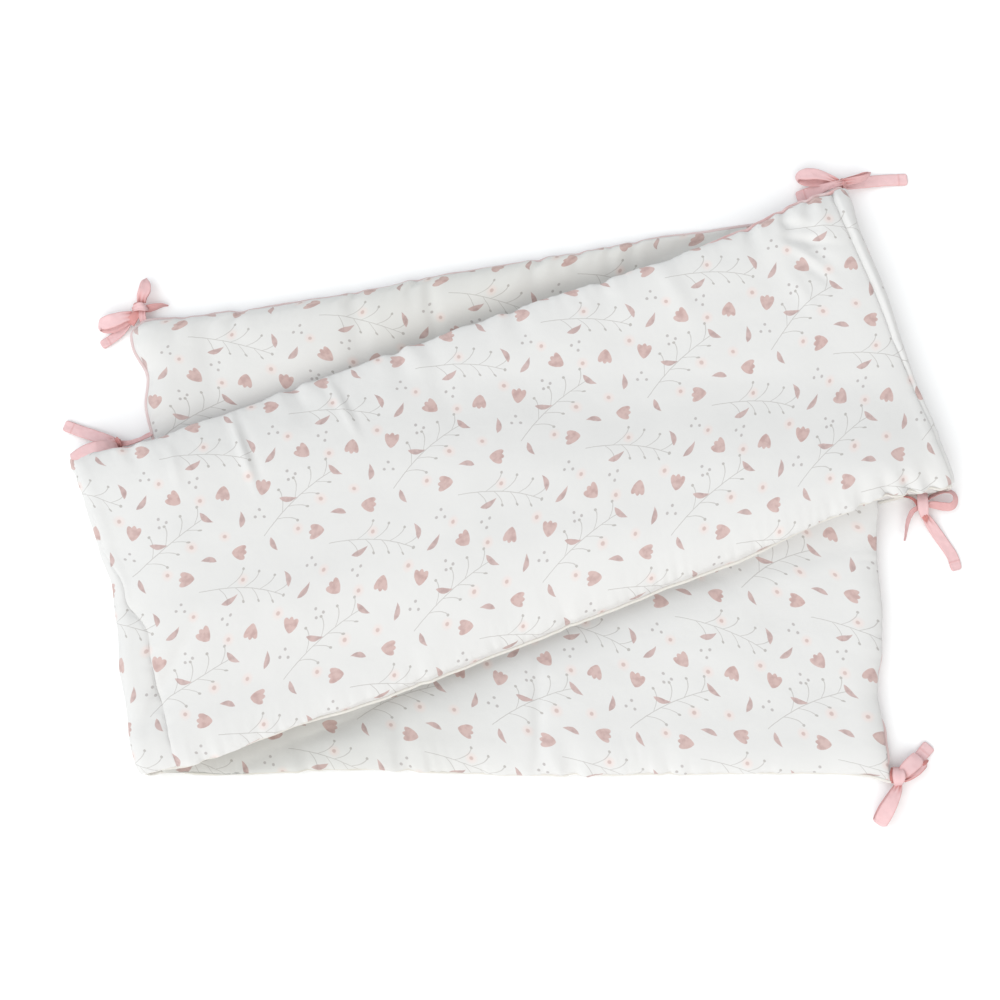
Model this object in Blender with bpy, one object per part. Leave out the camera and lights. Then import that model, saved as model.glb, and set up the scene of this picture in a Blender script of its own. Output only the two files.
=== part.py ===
"""Crib bumper: a long padded cotton strip in three sections, folded over on itself and lying flat.

Metres, +Z up. The folded bumper rests on z = 0, with the middle of its bounding box over the origin.
Plan positions below are given in the bumper's own layout plane and moved to the origin by HOME.
The top section lies over the two others: the left fold leads down to the lower section, whose free
end is at the right, and the right fold leads down to the bottom section, whose free end is at the left.
"""

import math

import bmesh
import bpy
import numpy as np
from mathutils import Matrix, Vector

# Driving dimensions ---------------------------------------------------------------------------------

HOME = (-0.0093, -0.0141)  # moves the layout plane so that the bounding box stands over the origin

PAD_FREE = 0.024  # loft of a section with nothing on it
PAD_PRESSED = 0.017  # loft under one other section
PAD_DEEP = 0.015  # loft where two sections lie on top
LAYER_GAP = 0.0008  # air between two layers of the fold
SEAM_HEIGHT = 0.0085  # of a section's edge seam above its own underside
SEAM_THICKNESS = 0.003  # the flat seam all round the strip
HUMP = 0.0135  # how much higher the top section lies where both others are under it
HUMP_RAMP = 0.075  # over which the top section climbs to that
LOWER_RAMP = 0.057  # over which the lower section climbs onto the bottom one
EDGE_ROUND = 0.026  # width of the rounded shoulder along a long edge
END_ROUND = 0.024  # and along a free end
HINGE_ROUND = 0.024  # and beside a sewn hinge line
HINGE_DIP = 0.009  # how deep the hinge stitching pulls the top surface
FOLD_REACH = 0.018  # from the start of a fold's bend to its outermost line
FOLD_CORE = 0.0012  # radius of the tight inner side of a fold

PIPING_RADIUS = 0.0016
PIPING_GAP = 0.0006

TAPE_WIDTH = 0.0125
TAPE_THICKNESS = 0.0013
TAPE_STEPS = 4  # stations between two points of a tape's route
KNOT_SIDES = 10
KNOT_RINGS = 7
LOOP_CLOSED = 0.0019  # between the middles of a loop's two runs where they lie closest

CLOTH_COLOUR = (0.84, 0.83, 0.80)
PIPING_COLOUR = (0.62, 0.36, 0.36)
TAPE_COLOUR = (0.78, 0.47, 0.47)

# Plan of the folds: the lines across the strip, from its lower long edge to its upper one --------------

LINES = {
    # name: (lower edge x, y), (upper edge x, y)
    "lower_end": ((0.3375, -0.2433), (0.3350, 0.0390)),
    "left_fold": ((-0.3135, -0.2455), (-0.3830, 0.0385)),
    "left_hinge": ((-0.2667, -0.2303), (-0.3617, 0.0443)),
    "right_hinge": ((0.3839, 0.0102), (0.3015, 0.2812)),
    "right_fold": ((0.4030, 0.0160), (0.3206, 0.2870)),
    "bottom_end": ((-0.2850, -0.1150), (-0.3270, 0.1680)),
}

# How far a line or a long edge bows to its right-hand side, looking from its first end: rows of
# (fraction along it, bow in metres)
BOWS = {
    "left_fold": ((0.0, 0.0), (0.3, 0.0045), (0.50, 0.0105), (0.75, 0.0045), (1.0, -0.0025)),
    "left_hinge": (
        (0.0, 0.0), (0.10, -0.0055), (0.25, -0.0045), (0.40, -0.0005), (0.50, -0.0030), (1.0, -0.0030),
    ),
    "right_fold": ((0.0, 0.0020), (0.15, 0.0020), (0.35, 0.0010), (0.88, 0.0), (1.0, 0.0055)),
    "lower_end": (
        (0.0, 0.0), (0.13, -0.0020), (0.25, -0.0068), (0.31, -0.0045), (0.38, -0.0005), (0.7, -0.001),
        (1.0, 0.0),
    ),
    "bottom_end": (
        (0.0, 0.0), (0.60, -0.001), (0.72, -0.004), (0.82, 0.001), (0.93, -0.0075), (0.96, -0.0070),
        (1.0, 0.0),
    ),
    "top_upper": (
        (0.0, 0.0), (0.09, 0.0083), (0.20, 0.0062), (0.30, 0.0037), (0.50, 0.0016), (0.62, 0.0021),
        (0.74, 0.0045), (0.88, 0.0026), (1.0, 0.0),
    ),
    "top_lower": (
        (0.0, 0.0), (0.04, 0.0050), (0.08, 0.0068), (0.13, 0.0050), (0.35, 0.0050), (0.55, 0.0024),
        (0.68, 0.0007), (0.76, 0.0012), (0.86, -0.0020), (0.92, -0.0048), (0.97, -0.0004), (1.0, 0.0010),
    ),
    "lower_lower": (
        (0.0, 0.0), (0.12, 0.0026), (0.31, 0.0014), (0.48, -0.0006), (0.74, 0.0052), (0.93, 0.0003),
        (1.0, 0.0),
    ),
    "bottom_upper": (
        (0.0, 0.0), (0.10, -0.0055), (0.27, -0.0037), (0.35, -0.0047), (0.55, -0.0040), (0.70, -0.0060),
        (0.86, -0.0059), (0.94, -0.0035), (1.0, 0.0),
    ),
}

# The two sewn hinge lines, each with the fractions along it between which it leaves the top face
HINGES = (
    ("left_hinge", 0.45, 0.70),
    ("right_hinge", 1.00, 1.20),
)

# Loose creases of the visible faces: soft ridges (+) and troughs (-) that fade out along their length
CREASES = (
    # section, x, y, heading in degrees, length, width, height
    ("top", -0.232, 0.062, -70.0, 0.080, 0.0075, 0.0030),
    ("top", -0.150, 0.100, -62.0, 0.070, 0.0080, 0.0025),
    ("top", -0.060, 0.128, -74.0, 0.080, 0.0110, -0.0022),
    ("top", 0.150, 0.205, -66.0, 0.070, 0.0090, 0.0022),
    ("top", 0.280, 0.235, -48.0, 0.060, 0.0080, -0.0025),
    ("top", -0.290, -0.165, 64.0, 0.090, 0.0080, -0.0030),
    ("top", 0.350, 0.012, 15.0, 0.060, 0.0060, -0.0040),
    ("lower", 0.034, -0.190, 90.0, 0.110, 0.0060, -0.0025),
    ("lower", -0.088, -0.215, 90.0, 0.070, 0.0080, -0.0020),
    ("bottom", -0.262, 0.140, -85.0, 0.100, 0.0120, -0.0025),
    ("bottom", -0.130, 0.180, -86.0, 0.090, 0.0110, -0.0025),
    ("bottom", -0.064, 0.190, -80.0, 0.060, 0.0070, -0.0030),
)

# Where the stations stand, as distances in metres from a line or an edge
EDGE_STEPS = (0.0, 0.0012, 0.0045, 0.0105, 0.020, 0.034, 0.060)
ACROSS_INNER = 5  # even stations between the outermost EDGE_STEPS
LINE_STEPS = (0.0, 0.0015, 0.0055, 0.0120, 0.0220)
HINGE_STEPS = (0.0, 0.0050, 0.0130)
PLAIN = (0.0,)
STATION_PITCH = 0.022
FOLD_ANGLES = 8

UP = np.array((0.0, 0.0, 1.0))
HOME_3D = np.array((*HOME, 0.0))


# The ties: flat tape knotted in a small bow at a corner. A knot row is (x, y, z), (half sizes), heading.
KNOTS = {
    "tie_bottom_end": ((-0.3300, 0.1833, 0.0085), (0.0066, 0.0052, 0.0058), -10.0),
    "tie_left_fold": ((-0.3440, 0.0555, 0.0110), (0.0060, 0.0045, 0.0050), 22.0),
    "tie_right_fold_upper": ((0.3136, 0.3000, 0.0150), (0.0080, 0.0044, 0.0060), 4.0),
    "tie_right_fold_lower": ((0.3798, -0.0062, 0.0100), (0.0052, 0.0086, 0.0062), 5.0),
    "tie_lower_end": ((0.3492, -0.2405, 0.0080), (0.0072, 0.0066, 0.0062), 30.0),
}
# Each strand starts inside its knot. Its points are (x, y, z, lean in degrees, share of the tape's width);
# lean 0 lies flat and 90 stands on edge. A loop runs out along its points and back below them, and
# opening is the height between its two runs at their widest.
STRANDS = (
    # tie, kind, opening, points
    ("tie_bottom_end", "loop", 0.0042, (
        (-0.3296, 0.1850, 0.0080, 0.0, 0.55), (-0.3284, 0.1935, 0.0078, 10.0, 0.80),
        (-0.3262, 0.2025, 0.0085, 15.0, 1.05), (-0.3258, 0.2085, 0.0075, 25.0, 0.80),
        (-0.3252, 0.2140, 0.0060, 40.0, 0.25))),
    ("tie_bottom_end", "tail", 0.0, (
        (-0.3290, 0.1825, 0.0070, 20.0, 0.50), (-0.3225, 0.1815, 0.0062, 50.0, 0.55),
        (-0.3132, 0.1838, 0.0055, 65.0, 0.60), (-0.3040, 0.1855, 0.0038, 70.0, 0.30))),
    ("tie_bottom_end", "loop", 0.0060, (
        (-0.3320, 0.1820, 0.0085, 0.0, 0.60), (-0.3400, 0.1770, 0.0090, -5.0, 0.90),
        (-0.3513, 0.1745, 0.0090, -8.0, 1.00), (-0.3610, 0.1710, 0.0080, -8.0, 1.05),
        (-0.3672, 0.1678, 0.0065, -10.0, 1.00))),
    ("tie_bottom_end", "tail", 0.0, (
        (-0.3315, 0.1810, 0.0060, 0.0, 0.60), (-0.3390, 0.1700, 0.0042, 12.0, 0.90),
        (-0.3513, 0.1570, 0.0024, 8.0, 0.85), (-0.3625, 0.1462, 0.0016, 4.0, 0.85))),
    ("tie_bottom_end", "tail", 0.0, (
        (-0.3295, 0.1820, 0.0085, 0.0, 0.70), (-0.3275, 0.1765, 0.0090, 0.0, 0.80),
        (-0.3262, 0.1738, 0.0088, 0.0, 0.80))),
    ("tie_left_fold", "tail", 0.0, (
        (-0.3425, 0.0552, 0.0110, 0.0, 0.60), (-0.3530, 0.0592, 0.0090, 14.0, 0.90),
        (-0.3660, 0.0650, 0.0055, 10.0, 0.95), (-0.3830, 0.0712, 0.0030, 4.0, 0.95),
        (-0.3945, 0.0745, 0.0016, 0.0, 0.95))),
    ("tie_left_fold", "tail", 0.0, (
        (-0.3430, 0.0552, 0.0110, 8.0, 0.65), (-0.3520, 0.0532, 0.0125, 20.0, 0.95),
        (-0.3660, 0.0502, 0.0140, 30.0, 0.90), (-0.3760, 0.0480, 0.0155, 50.0, 0.60),
        (-0.3815, 0.0462, 0.0165, 65.0, 0.35))),
    ("tie_left_fold", "tail", 0.0, (
        (-0.3450, 0.0552, 0.0105, -8.0, 0.60), (-0.3350, 0.0592, 0.0085, -25.0, 0.75),
        (-0.3280, 0.0618, 0.0070, -20.0, 0.70), (-0.3215, 0.0640, 0.0055, -10.0, 0.55))),
    ("tie_right_fold_upper", "loop", 0.0085, (
        (0.3130, 0.3003, 0.0165, 0.0, 0.60), (0.3060, 0.3020, 0.0160, 10.0, 0.75),
        (0.2960, 0.3052, 0.0150, 15.0, 1.00), (0.2850, 0.3082, 0.0130, 10.0, 1.05),
        (0.2765, 0.3075, 0.0095, 0.0, 0.90))),
    ("tie_right_fold_upper", "tail", 0.0, (
        (0.3140, 0.2990, 0.0120, 0.0, 0.60), (0.3040, 0.2980, 0.0085, -15.0, 0.75),
        (0.2922, 0.2945, 0.0045, -10.0, 0.90), (0.2758, 0.2892, 0.0018, 0.0, 0.90))),
    ("tie_right_fold_upper", "loop", 0.0040, (
        (0.3150, 0.3005, 0.0165, 0.0, 0.60), (0.3220, 0.3028, 0.0165, 30.0, 0.65),
        (0.3317, 0.3066, 0.0140, 40.0, 0.65), (0.3390, 0.3100, 0.0120, 50.0, 0.55),
        (0.3450, 0.3130, 0.0100, 60.0, 0.25))),
    ("tie_right_fold_upper", "tail", 0.0, (
        (0.3130, 0.2990, 0.0120, 0.0, 0.60), (0.3240, 0.2992, 0.0095, 8.0, 0.85),
        (0.3435, 0.3032, 0.0050, 5.0, 1.00), (0.3628, 0.3062, 0.0022, 0.0, 1.00),
        (0.3800, 0.3078, 0.0014, 0.0, 1.05))),
    ("tie_right_fold_upper", "tail", 0.0, (
        (0.3136, 0.3000, 0.0160, 0.0, 0.70), (0.3145, 0.2955, 0.0175, 0.0, 0.75),
        (0.3170, 0.2910, 0.0180, 0.0, 0.60))),
    ("tie_right_fold_lower", "tail", 0.0, (
        (0.3800, -0.0025, 0.0100, 80.0, 0.60), (0.3880, 0.0028, 0.0085, 82.0, 0.80),
        (0.3975, 0.0080, 0.0078, 84.0, 0.95), (0.4070, 0.0095, 0.0076, 86.0, 1.00),
        (0.4112, 0.0035, 0.0076, 88.0, 1.00), (0.4085, -0.0042, 0.0078, 86.0, 1.00),
        (0.3990, -0.0058, 0.0082, 84.0, 0.90), (0.3900, -0.0060, 0.0090, 82.0, 0.80),
        (0.3805, -0.0085, 0.0095, 80.0, 0.60))),
    ("tie_right_fold_lower", "tail", 0.0, (
        (0.3797, -0.0100, 0.0080, 0.0, 0.55), (0.3850, -0.0160, 0.0060, 5.0, 0.75),
        (0.3920, -0.0255, 0.0030, 5.0, 0.85), (0.4005, -0.0385, 0.0016, 0.0, 0.85),
        (0.4060, -0.0495, 0.0015, 0.0, 0.90), (0.4090, -0.0590, 0.0014, 0.0, 0.95))),
    ("tie_right_fold_lower", "tail", 0.0, (
        (0.3785, -0.0080, 0.0090, 60.0, 0.55), (0.3720, -0.0085, 0.0080, 75.0, 0.80),
        (0.3668, -0.0145, 0.0074, 80.0, 0.95), (0.3640, -0.0235, 0.0070, 84.0, 0.95),
        (0.3620, -0.0340, 0.0066, 86.0, 0.90))),
    ("tie_right_fold_lower", "tail", 0.0, (
        (0.3798, -0.0050, 0.0120, 0.0, 0.70), (0.3805, 0.0015, 0.0125, 0.0, 0.75),
        (0.3813, 0.0085, 0.0105, 0.0, 0.70))),
    ("tie_lower_end", "loop", 0.0060, (
        (0.3488, -0.2420, 0.0080, 0.0, 0.50), (0.3470, -0.2520, 0.0085, 15.0, 0.70),
        (0.3424, -0.2615, 0.0095, 20.0, 1.00), (0.3368, -0.2725, 0.0090, 15.0, 1.15),
        (0.3318, -0.2815, 0.0070, 5.0, 1.10))),
    ("tie_lower_end", "tail", 0.0, (
        (0.3495, -0.2395, 0.0085, 0.0, 0.60), (0.3560, -0.2315, 0.0070, -8.0, 0.85),
        (0.3625, -0.2240, 0.0048, -6.0, 1.00), (0.3690, -0.2188, 0.0030, 4.0, 0.90),
        (0.3785, -0.2145, 0.0016, 0.0, 1.05))),
    ("tie_lower_end", "loop", 0.0026, (
        (0.3500, -0.2412, 0.0050, -40.0, 0.50), (0.3580, -0.2412, 0.0058, -55.0, 0.60),
        (0.3665, -0.2382, 0.0060, -60.0, 0.60), (0.3745, -0.2325, 0.0052, -60.0, 0.40))),
    ("tie_lower_end", "tail", 0.0, (
        (0.3500, -0.2405, 0.0085, 0.0, 0.70), (0.3455, -0.2418, 0.0088, 0.0, 0.85),
        (0.3436, -0.2424, 0.0088, 0.0, 0.85))),
)


# Small helpers --------------------------------------------------------------------------------------


def smooth(x, low, high):
    """Goes softly from 0 at low to 1 at high."""
    u = min(max((x - low) / (high - low), 0.0), 1.0)
    return u * u * (3.0 - 2.0 * u)


def shoulder(distance, radius):
    """Height of a rounded shoulder, from 0 at the seam to 1 one radius in."""
    u = min(max(distance / radius, 0.0), 1.0)
    return math.sqrt(1.0 - (1.0 - u) ** 2)


def bow(name, fraction):
    """Reads a row of BOWS, with soft turns between its points."""
    rows = BOWS.get(name)
    if rows is None:
        return 0.0
    for (a, low), (b, high) in zip(rows, rows[1:]):
        if fraction <= b:
            return low + (high - low) * smooth(fraction, a, b)
    return rows[-1][1]


def inside(point, start, end):
    """Distance of a plan point to the left of the line from start to end."""
    along = np.subtract(end, start)
    across = np.array((-along[1], along[0])) / np.hypot(*along)
    return float(np.dot(np.subtract(point, start), across))


def curved(name, t):
    """The point at fraction t of a line across the strip, with its bow."""
    start, end = (np.array(p) for p in LINES[name])
    along = end - start
    right = np.array((along[1], -along[0])) / np.hypot(*along)
    return start + along * t + right * bow(name, t)


def bend_start(name, t):
    """Where a fold's bend starts, inside the outermost line of the fold."""
    start, end = (np.array(p) for p in LINES[name])
    along = end - start
    right = np.array((along[1], -along[0])) / np.hypot(*along)
    inward = right if name == "left_fold" else -right
    return curved(name, t) + inward * FOLD_REACH, -inward


# Heights of the layers --------------------------------------------------------------------------------


def over_bottom(point, low, high):
    """How far the bottom section's cloth lies under a plan point, from 0 to 1."""
    edge = inside(point, LINES["bottom_end"][0], LINES["right_fold"][0])
    end = -inside(point, *LINES["bottom_end"])
    return smooth(edge, low, high) * smooth(end, low, high)


def under_top(point):
    """1 under the top section, softly 0 outside its long edges."""
    upper = -inside(point, LINES["left_fold"][1], LINES["right_fold"][1])
    lower = inside(point, LINES["left_hinge"][0], LINES["right_hinge"][0])
    return smooth(upper, -0.026, 0.024) * smooth(lower, -0.036, 0.010)


def over_lower(point, low, high):
    """How far the lower section's cloth lies under a plan point, from 0 to 1."""
    edge = -inside(point, LINES["left_fold"][1], LINES["lower_end"][1])
    end = inside(point, *LINES["lower_end"])
    return smooth(edge, low, high) * smooth(end, low, high)


def creases(section, point):
    total = 0.0
    for owner, x, y, heading, length, width, height in CREASES:
        if owner != section:
            continue
        direction = np.array((math.cos(math.radians(heading)), math.sin(math.radians(heading))))
        offset = np.subtract(point, (x, y))
        along = float(np.dot(offset, direction)) / length
        aside = float(offset[1] * direction[0] - offset[0] * direction[1]) / width
        if abs(along) < 1.0 and abs(aside) < 3.0:
            total += height * (1.0 - along * along) ** 2 * math.exp(-aside * aside)
    return total


def hinge_dip(point):
    """How much the two hinge stitchings pull the top surface down."""
    total = 0.0
    for name, leaving, gone in HINGES:
        start, end = LINES[name]
        along = np.subtract(end, start)
        fraction = float(np.dot(np.subtract(point, start), along) / np.dot(along, along))
        distance = abs(inside(point, start, end) + bow(name, fraction))
        there = 1.0 - smooth(fraction, leaving, gone)
        total += there * HINGE_DIP * (1.0 - shoulder(distance, HINGE_ROUND))
    return total


def heights(section, point):
    """Underside and upper side of a section's full loft at a plan point."""
    if section == "bottom":
        deep = over_lower(point, -0.010, 0.030)
        loft = PAD_FREE - (PAD_FREE - PAD_PRESSED) * under_top(point) - (PAD_PRESSED - PAD_DEEP) * deep
        return 0.0, loft + creases(section, point)
    if section == "lower":
        lifted = over_bottom(point, -0.045, LOWER_RAMP - 0.045)
        deep = over_bottom(point, -0.030, 0.010)
        loft = PAD_FREE - (PAD_FREE - PAD_PRESSED) * under_top(point) - (PAD_PRESSED - PAD_DEEP) * deep
        floor = (PAD_DEEP + LAYER_GAP) * lifted
        return floor, floor + loft + creases(section, point)
    under = HUMP * over_bottom(point, -0.060, 0.0) * over_lower(point, -0.060, 0.0)
    crest = HUMP * over_bottom(point, -HUMP_RAMP, 0.020) * over_lower(point, -HUMP_RAMP, 0.020)
    floor = PAD_PRESSED + LAYER_GAP
    return floor + under, floor + PAD_FREE + crest + creases(section, point) - hinge_dip(point)


# The strip ---------------------------------------------------------------------------------------------


def spread(width, steps, inner):
    """Fractions from 0 to 1 that crowd towards both ends."""
    near = [s / width for s in steps]
    middle = [near[-1] + (1.0 - 2.0 * near[-1]) * (i + 1) / (inner + 1) for i in range(inner)]
    return near + middle + [1.0 - n for n in reversed(near)]


def across():
    lower, upper = (np.array(p) for p in LINES["lower_end"])
    return spread(float(np.hypot(*(upper - lower))), EDGE_STEPS, ACROSS_INNER)


def edge_distance(t):
    lower, upper = (np.array(p) for p in LINES["lower_end"])
    return min(t, 1.0 - t) * float(np.hypot(*(upper - lower)))


def loop(section, places, end_shoulder=1.0, angle=None, outward=None):
    """One closed loop round the strip: its outer face from edge to edge, then its inner face back.

    places holds (t, plan point) rows; angle runs from 0 on the top section to pi on the section below
    through a fold, whose outermost line lies along outward.
    """
    outer, inner = [], []
    flip = section != "top"
    for t, point in places:
        weight = shoulder(edge_distance(t), EDGE_ROUND) * end_shoulder
        if angle is None:
            low, high = heights(section, point)
            seam = low + SEAM_HEIGHT * (high - low) / PAD_FREE * 1.1
            reach = (0.0, 0.0, 0.0)
        else:
            top_low, top_high = heights("top", point)
            low, high = heights(section, point)
            c = math.cos(angle)
            s = math.sin(angle)
            face = 0.5 * (top_high + low) + 0.5 * (top_high - low) * c
            back = 0.5 * (top_low + high) + 0.5 * (top_low - high) * c
            top_seam = top_low + SEAM_HEIGHT * (top_high - top_low) / PAD_FREE * 1.1
            low_seam = low + SEAM_HEIGHT * (high - low) / PAD_FREE * 1.1
            seam = 0.5 * (top_seam + low_seam) + 0.5 * (top_seam - low_seam) * c
            reach = (FOLD_REACH * s, 0.6 * FOLD_REACH * s, FOLD_CORE * s)
        if angle is None:
            face, back = (low, high) if flip else (high, low)
        half = 0.5 * SEAM_THICKNESS
        if angle is None:
            lip_face, lip_back = (seam - half, seam + half) if flip else (seam + half, seam - half)
            lip_reach = (0.0, 0.0)
        else:
            lip_face, lip_back = seam + half * math.cos(angle), seam - half * math.cos(angle)
            lip_reach = (reach[1] + half * math.sin(angle), reach[1] - half * math.sin(angle))
        for row, level, lip, out, lip_out in (
            (outer, face, lip_face, reach[0], lip_reach[0]),
            (inner, back, lip_back, reach[2], lip_reach[1]),
        ):
            z = lip + (level - lip) * weight
            shift = lip_out + (out - lip_out) * weight
            x, y = point if outward is None else point + outward * shift
            row.append((x + HOME[0], y + HOME[1], z))
    return outer + inner[::-1]


def stations():
    """All loops from the lower section's free end to the bottom section's free end."""
    ts = across()
    loops = []

    def ruled(section, lines, crowds, lower_edge, upper_edge, ends=(False, False)):
        """Loops from the first of the lines across the strip to the last, and on each line between.

        crowds holds, for each pair of lines, the distances of the loops that stand beside them, and the
        least number of loops in the room between.
        """
        first, last = lines[0], lines[-1]

        def bowed(point, t):
            """Moves a point with the bows of the two long edges."""
            span = last(t) - first(t)
            q = float(np.dot(point - first(t), span) / np.dot(span, span))
            for end, name, weight in ((0.0, lower_edge, 1.0 - t), (1.0, upper_edge, t)):
                side = last(end) - first(end)
                right = np.array((side[1], -side[0])) / np.hypot(*side)
                point = point + right * bow(name, q) * weight
            return point

        for a_line, b_line, (near_steps, far_steps, least) in zip(lines, lines[1:], crowds):
            length = float(np.hypot(*(b_line(0.5) - a_line(0.5))))
            count = max(int((length - near_steps[-1] - far_steps[-1]) / STATION_PITCH), least)
            near = [s / length for s in near_steps]
            far = [1.0 - s / length for s in reversed(far_steps)]
            middle = [near[-1] + (far[0] - near[-1]) * (i + 1) / (count + 1) for i in range(count)]
            fractions = near + middle + far
            if b_line is not last:
                fractions.pop()
            for q in fractions:
                places = [(t, bowed(a_line(t) + (b_line(t) - a_line(t)) * q, t)) for t in ts]
                rise = 1.0
                if ends[0]:
                    rise *= shoulder(q * length, END_ROUND)
                if ends[1]:
                    rise *= shoulder((1.0 - q) * length, END_ROUND)
                loops.append(loop(section, places, rise))

    def turned(section, name, angles):
        for angle in angles:
            for_t = [(t, *bend_start(name, t)) for t in ts]
            loops.append(loop(section, [(t, p) for t, p, _ in for_t], 1.0, angle, for_t[0][2]))

    def left(t):
        return bend_start("left_fold", t)[0]

    def right(t):
        return bend_start("right_fold", t)[0]

    def at(name):
        return lambda t: curved(name, t)

    turn = [math.pi * (i + 1) / (FOLD_ANGLES + 1) for i in range(FOLD_ANGLES)]
    ruled("lower", (at("lower_end"), left), ((LINE_STEPS, PLAIN, 1),), "lower_lower", "", (True, False))
    turned("lower", "left_fold", turn[::-1])
    ruled(
        "top",
        (left, at("left_hinge"), at("right_hinge"), right),
        ((PLAIN, PLAIN, 2), (HINGE_STEPS, HINGE_STEPS, 1), (PLAIN, PLAIN, 0)),
        "top_lower",
        "top_upper",
    )
    turned("bottom", "right_fold", turn)
    ruled("bottom", (right, at("bottom_end")), ((PLAIN, LINE_STEPS, 1),), "", "bottom_upper", (False, True))
    return loops


def strip_object(loops, collection):
    mesh = bmesh.new()
    rings = [[mesh.verts.new(p) for p in ring] for ring in loops]
    size = len(rings[0])
    for a, b in zip(rings, rings[1:]):
        for i in range(size):
            j = (i + 1) % size
            mesh.faces.new((a[i], a[j], b[j], b[i]))
    for ring in (rings[0], rings[-1]):
        half = size // 2
        for i in range(half - 1):
            mesh.faces.new((ring[i], ring[i + 1], ring[size - 2 - i], ring[size - 1 - i]))
    bmesh.ops.recalc_face_normals(mesh, faces=mesh.faces)
    return finish("bumper", mesh, collection, CLOTH_COLOUR, 0.85)


# Piping ----------------------------------------------------------------------------------------------


def seam_point(ring, index, size):
    """The middle of the flat seam between a loop's outer and inner face at one station."""
    return 0.5 * (np.array(ring[index]) + np.array(ring[size - 1 - index]))


def piping_route(loops):
    """Along the free end of the lower section, the upper long edge and the end of the bottom section."""
    size = len(loops[0])
    half = size // 2
    offset = PIPING_RADIUS + PIPING_GAP
    points = []

    def outward(a, b):
        step = a - b
        step[2] = 0.0
        return step / np.linalg.norm(step)

    def side(ring):
        return outward(seam_point(ring, half - 1, size), seam_point(ring, half - 3, size))

    def end_run(ring, inner_ring):
        """Places along a free end, each with the direction square to the end's own line."""
        seams = [seam_point(ring, i, size) for i in range(half)]
        rows = []
        for i, place in enumerate(seams):
            run = seams[min(i + 1, half - 1)] - seams[max(i - 1, 0)]
            square = np.array((run[1], -run[0], 0.0)) / math.hypot(run[0], run[1])
            turned_out = np.dot(square, place - seam_point(inner_ring, i, size)) > 0.0
            rows.append((place, square if turned_out else -square))
        return rows

    def corner(centre, start, end):
        for i in range(1, 4):
            mixed = start * math.cos(math.pi * i / 8) + end * math.sin(math.pi * i / 8)
            points.append(centre + offset * mixed / np.linalg.norm(mixed))

    lower_run = end_run(loops[0], loops[3])
    bottom_run = end_run(loops[-1], loops[-4])
    points.extend(place + offset * square for place, square in lower_run)
    corner(*lower_run[-1], side(loops[0]))
    points.extend(seam_point(ring, half - 1, size) + offset * side(ring) for ring in loops)
    corner(bottom_run[-1][0], side(loops[-1]), bottom_run[-1][1])
    points.extend(place + offset * square for place, square in reversed(bottom_run))
    kept = [points[0]]
    for point in points[1:]:
        if np.linalg.norm(point - kept[-1]) > 0.0008:
            kept.append(point)
    return kept


def piping_object(loops, collection):
    route = piping_route(loops)
    data = bpy.data.curves.new("piping", "CURVE")
    data.dimensions = "3D"
    spline = data.splines.new("POLY")
    spline.points.add(len(route) - 1)
    for knot, place in zip(spline.points, route):
        knot.co = (*place, 1.0)
    data.bevel_depth = PIPING_RADIUS
    data.bevel_resolution = 1
    data.use_fill_caps = True
    item = bpy.data.objects.new("piping", data)
    data.materials.append(material("piping", PIPING_COLOUR, 0.8))
    collection.objects.link(item)
    return item


# Ties -------------------------------------------------------------------------------------------------


def between(rows, u):
    """Catmull-Rom reading of a table of rows at u, from 0 to the last row's index."""
    i = min(int(u), len(rows) - 2)
    f = u - i
    a, b = np.array(rows[i]), np.array(rows[i + 1])
    before = np.array(rows[i - 1]) if i > 0 else 2 * a - b
    after = np.array(rows[i + 2]) if i + 2 < len(rows) else 2 * b - a
    bend = 2 * before - 5 * a + 4 * b - after
    twist = 3 * (a - b) + after - before
    return a + 0.5 * f * ((b - before) + f * (bend + f * twist))


def strand_rows(kind, opening, points):
    """Rows of place, width direction and share of the tape's width; a loop comes back below its way out."""
    places = np.array([p[:3] for p in points])
    headings = np.gradient(places, axis=0)
    rows = []
    for (x, y, z, lean, share), heading in zip(points, headings):
        side = np.array((-heading[1], heading[0], 0.0)) / math.hypot(heading[0], heading[1])
        angle = math.radians(lean)
        rows.append((np.array((x, y, z)), math.cos(angle) * side + math.sin(angle) * UP, share))
    if kind == "tail":
        return [np.array((*place, *wide, share)) for place, wide, share in rows]
    out, back = [], []
    last = len(rows) - 1
    for i, (place, wide, share) in enumerate(rows):
        apart = np.cross(headings[i], wide)
        gap = max(opening * math.sin(math.pi * (0.12 + 0.70 * i / last)), LOOP_CLOSED)
        apart = apart / np.linalg.norm(apart) * 0.5 * gap
        out.append(np.array((*(place + apart), *wide, share)))
        back.append(np.array((*(place - apart), *wide, share)))
    step = headings[-1] / np.linalg.norm(headings[-1]) * 0.35 * opening
    tip = np.array((*(places[-1] + step), *rows[-1][1], rows[-1][2]))
    return out + [tip] + back[::-1]


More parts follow.
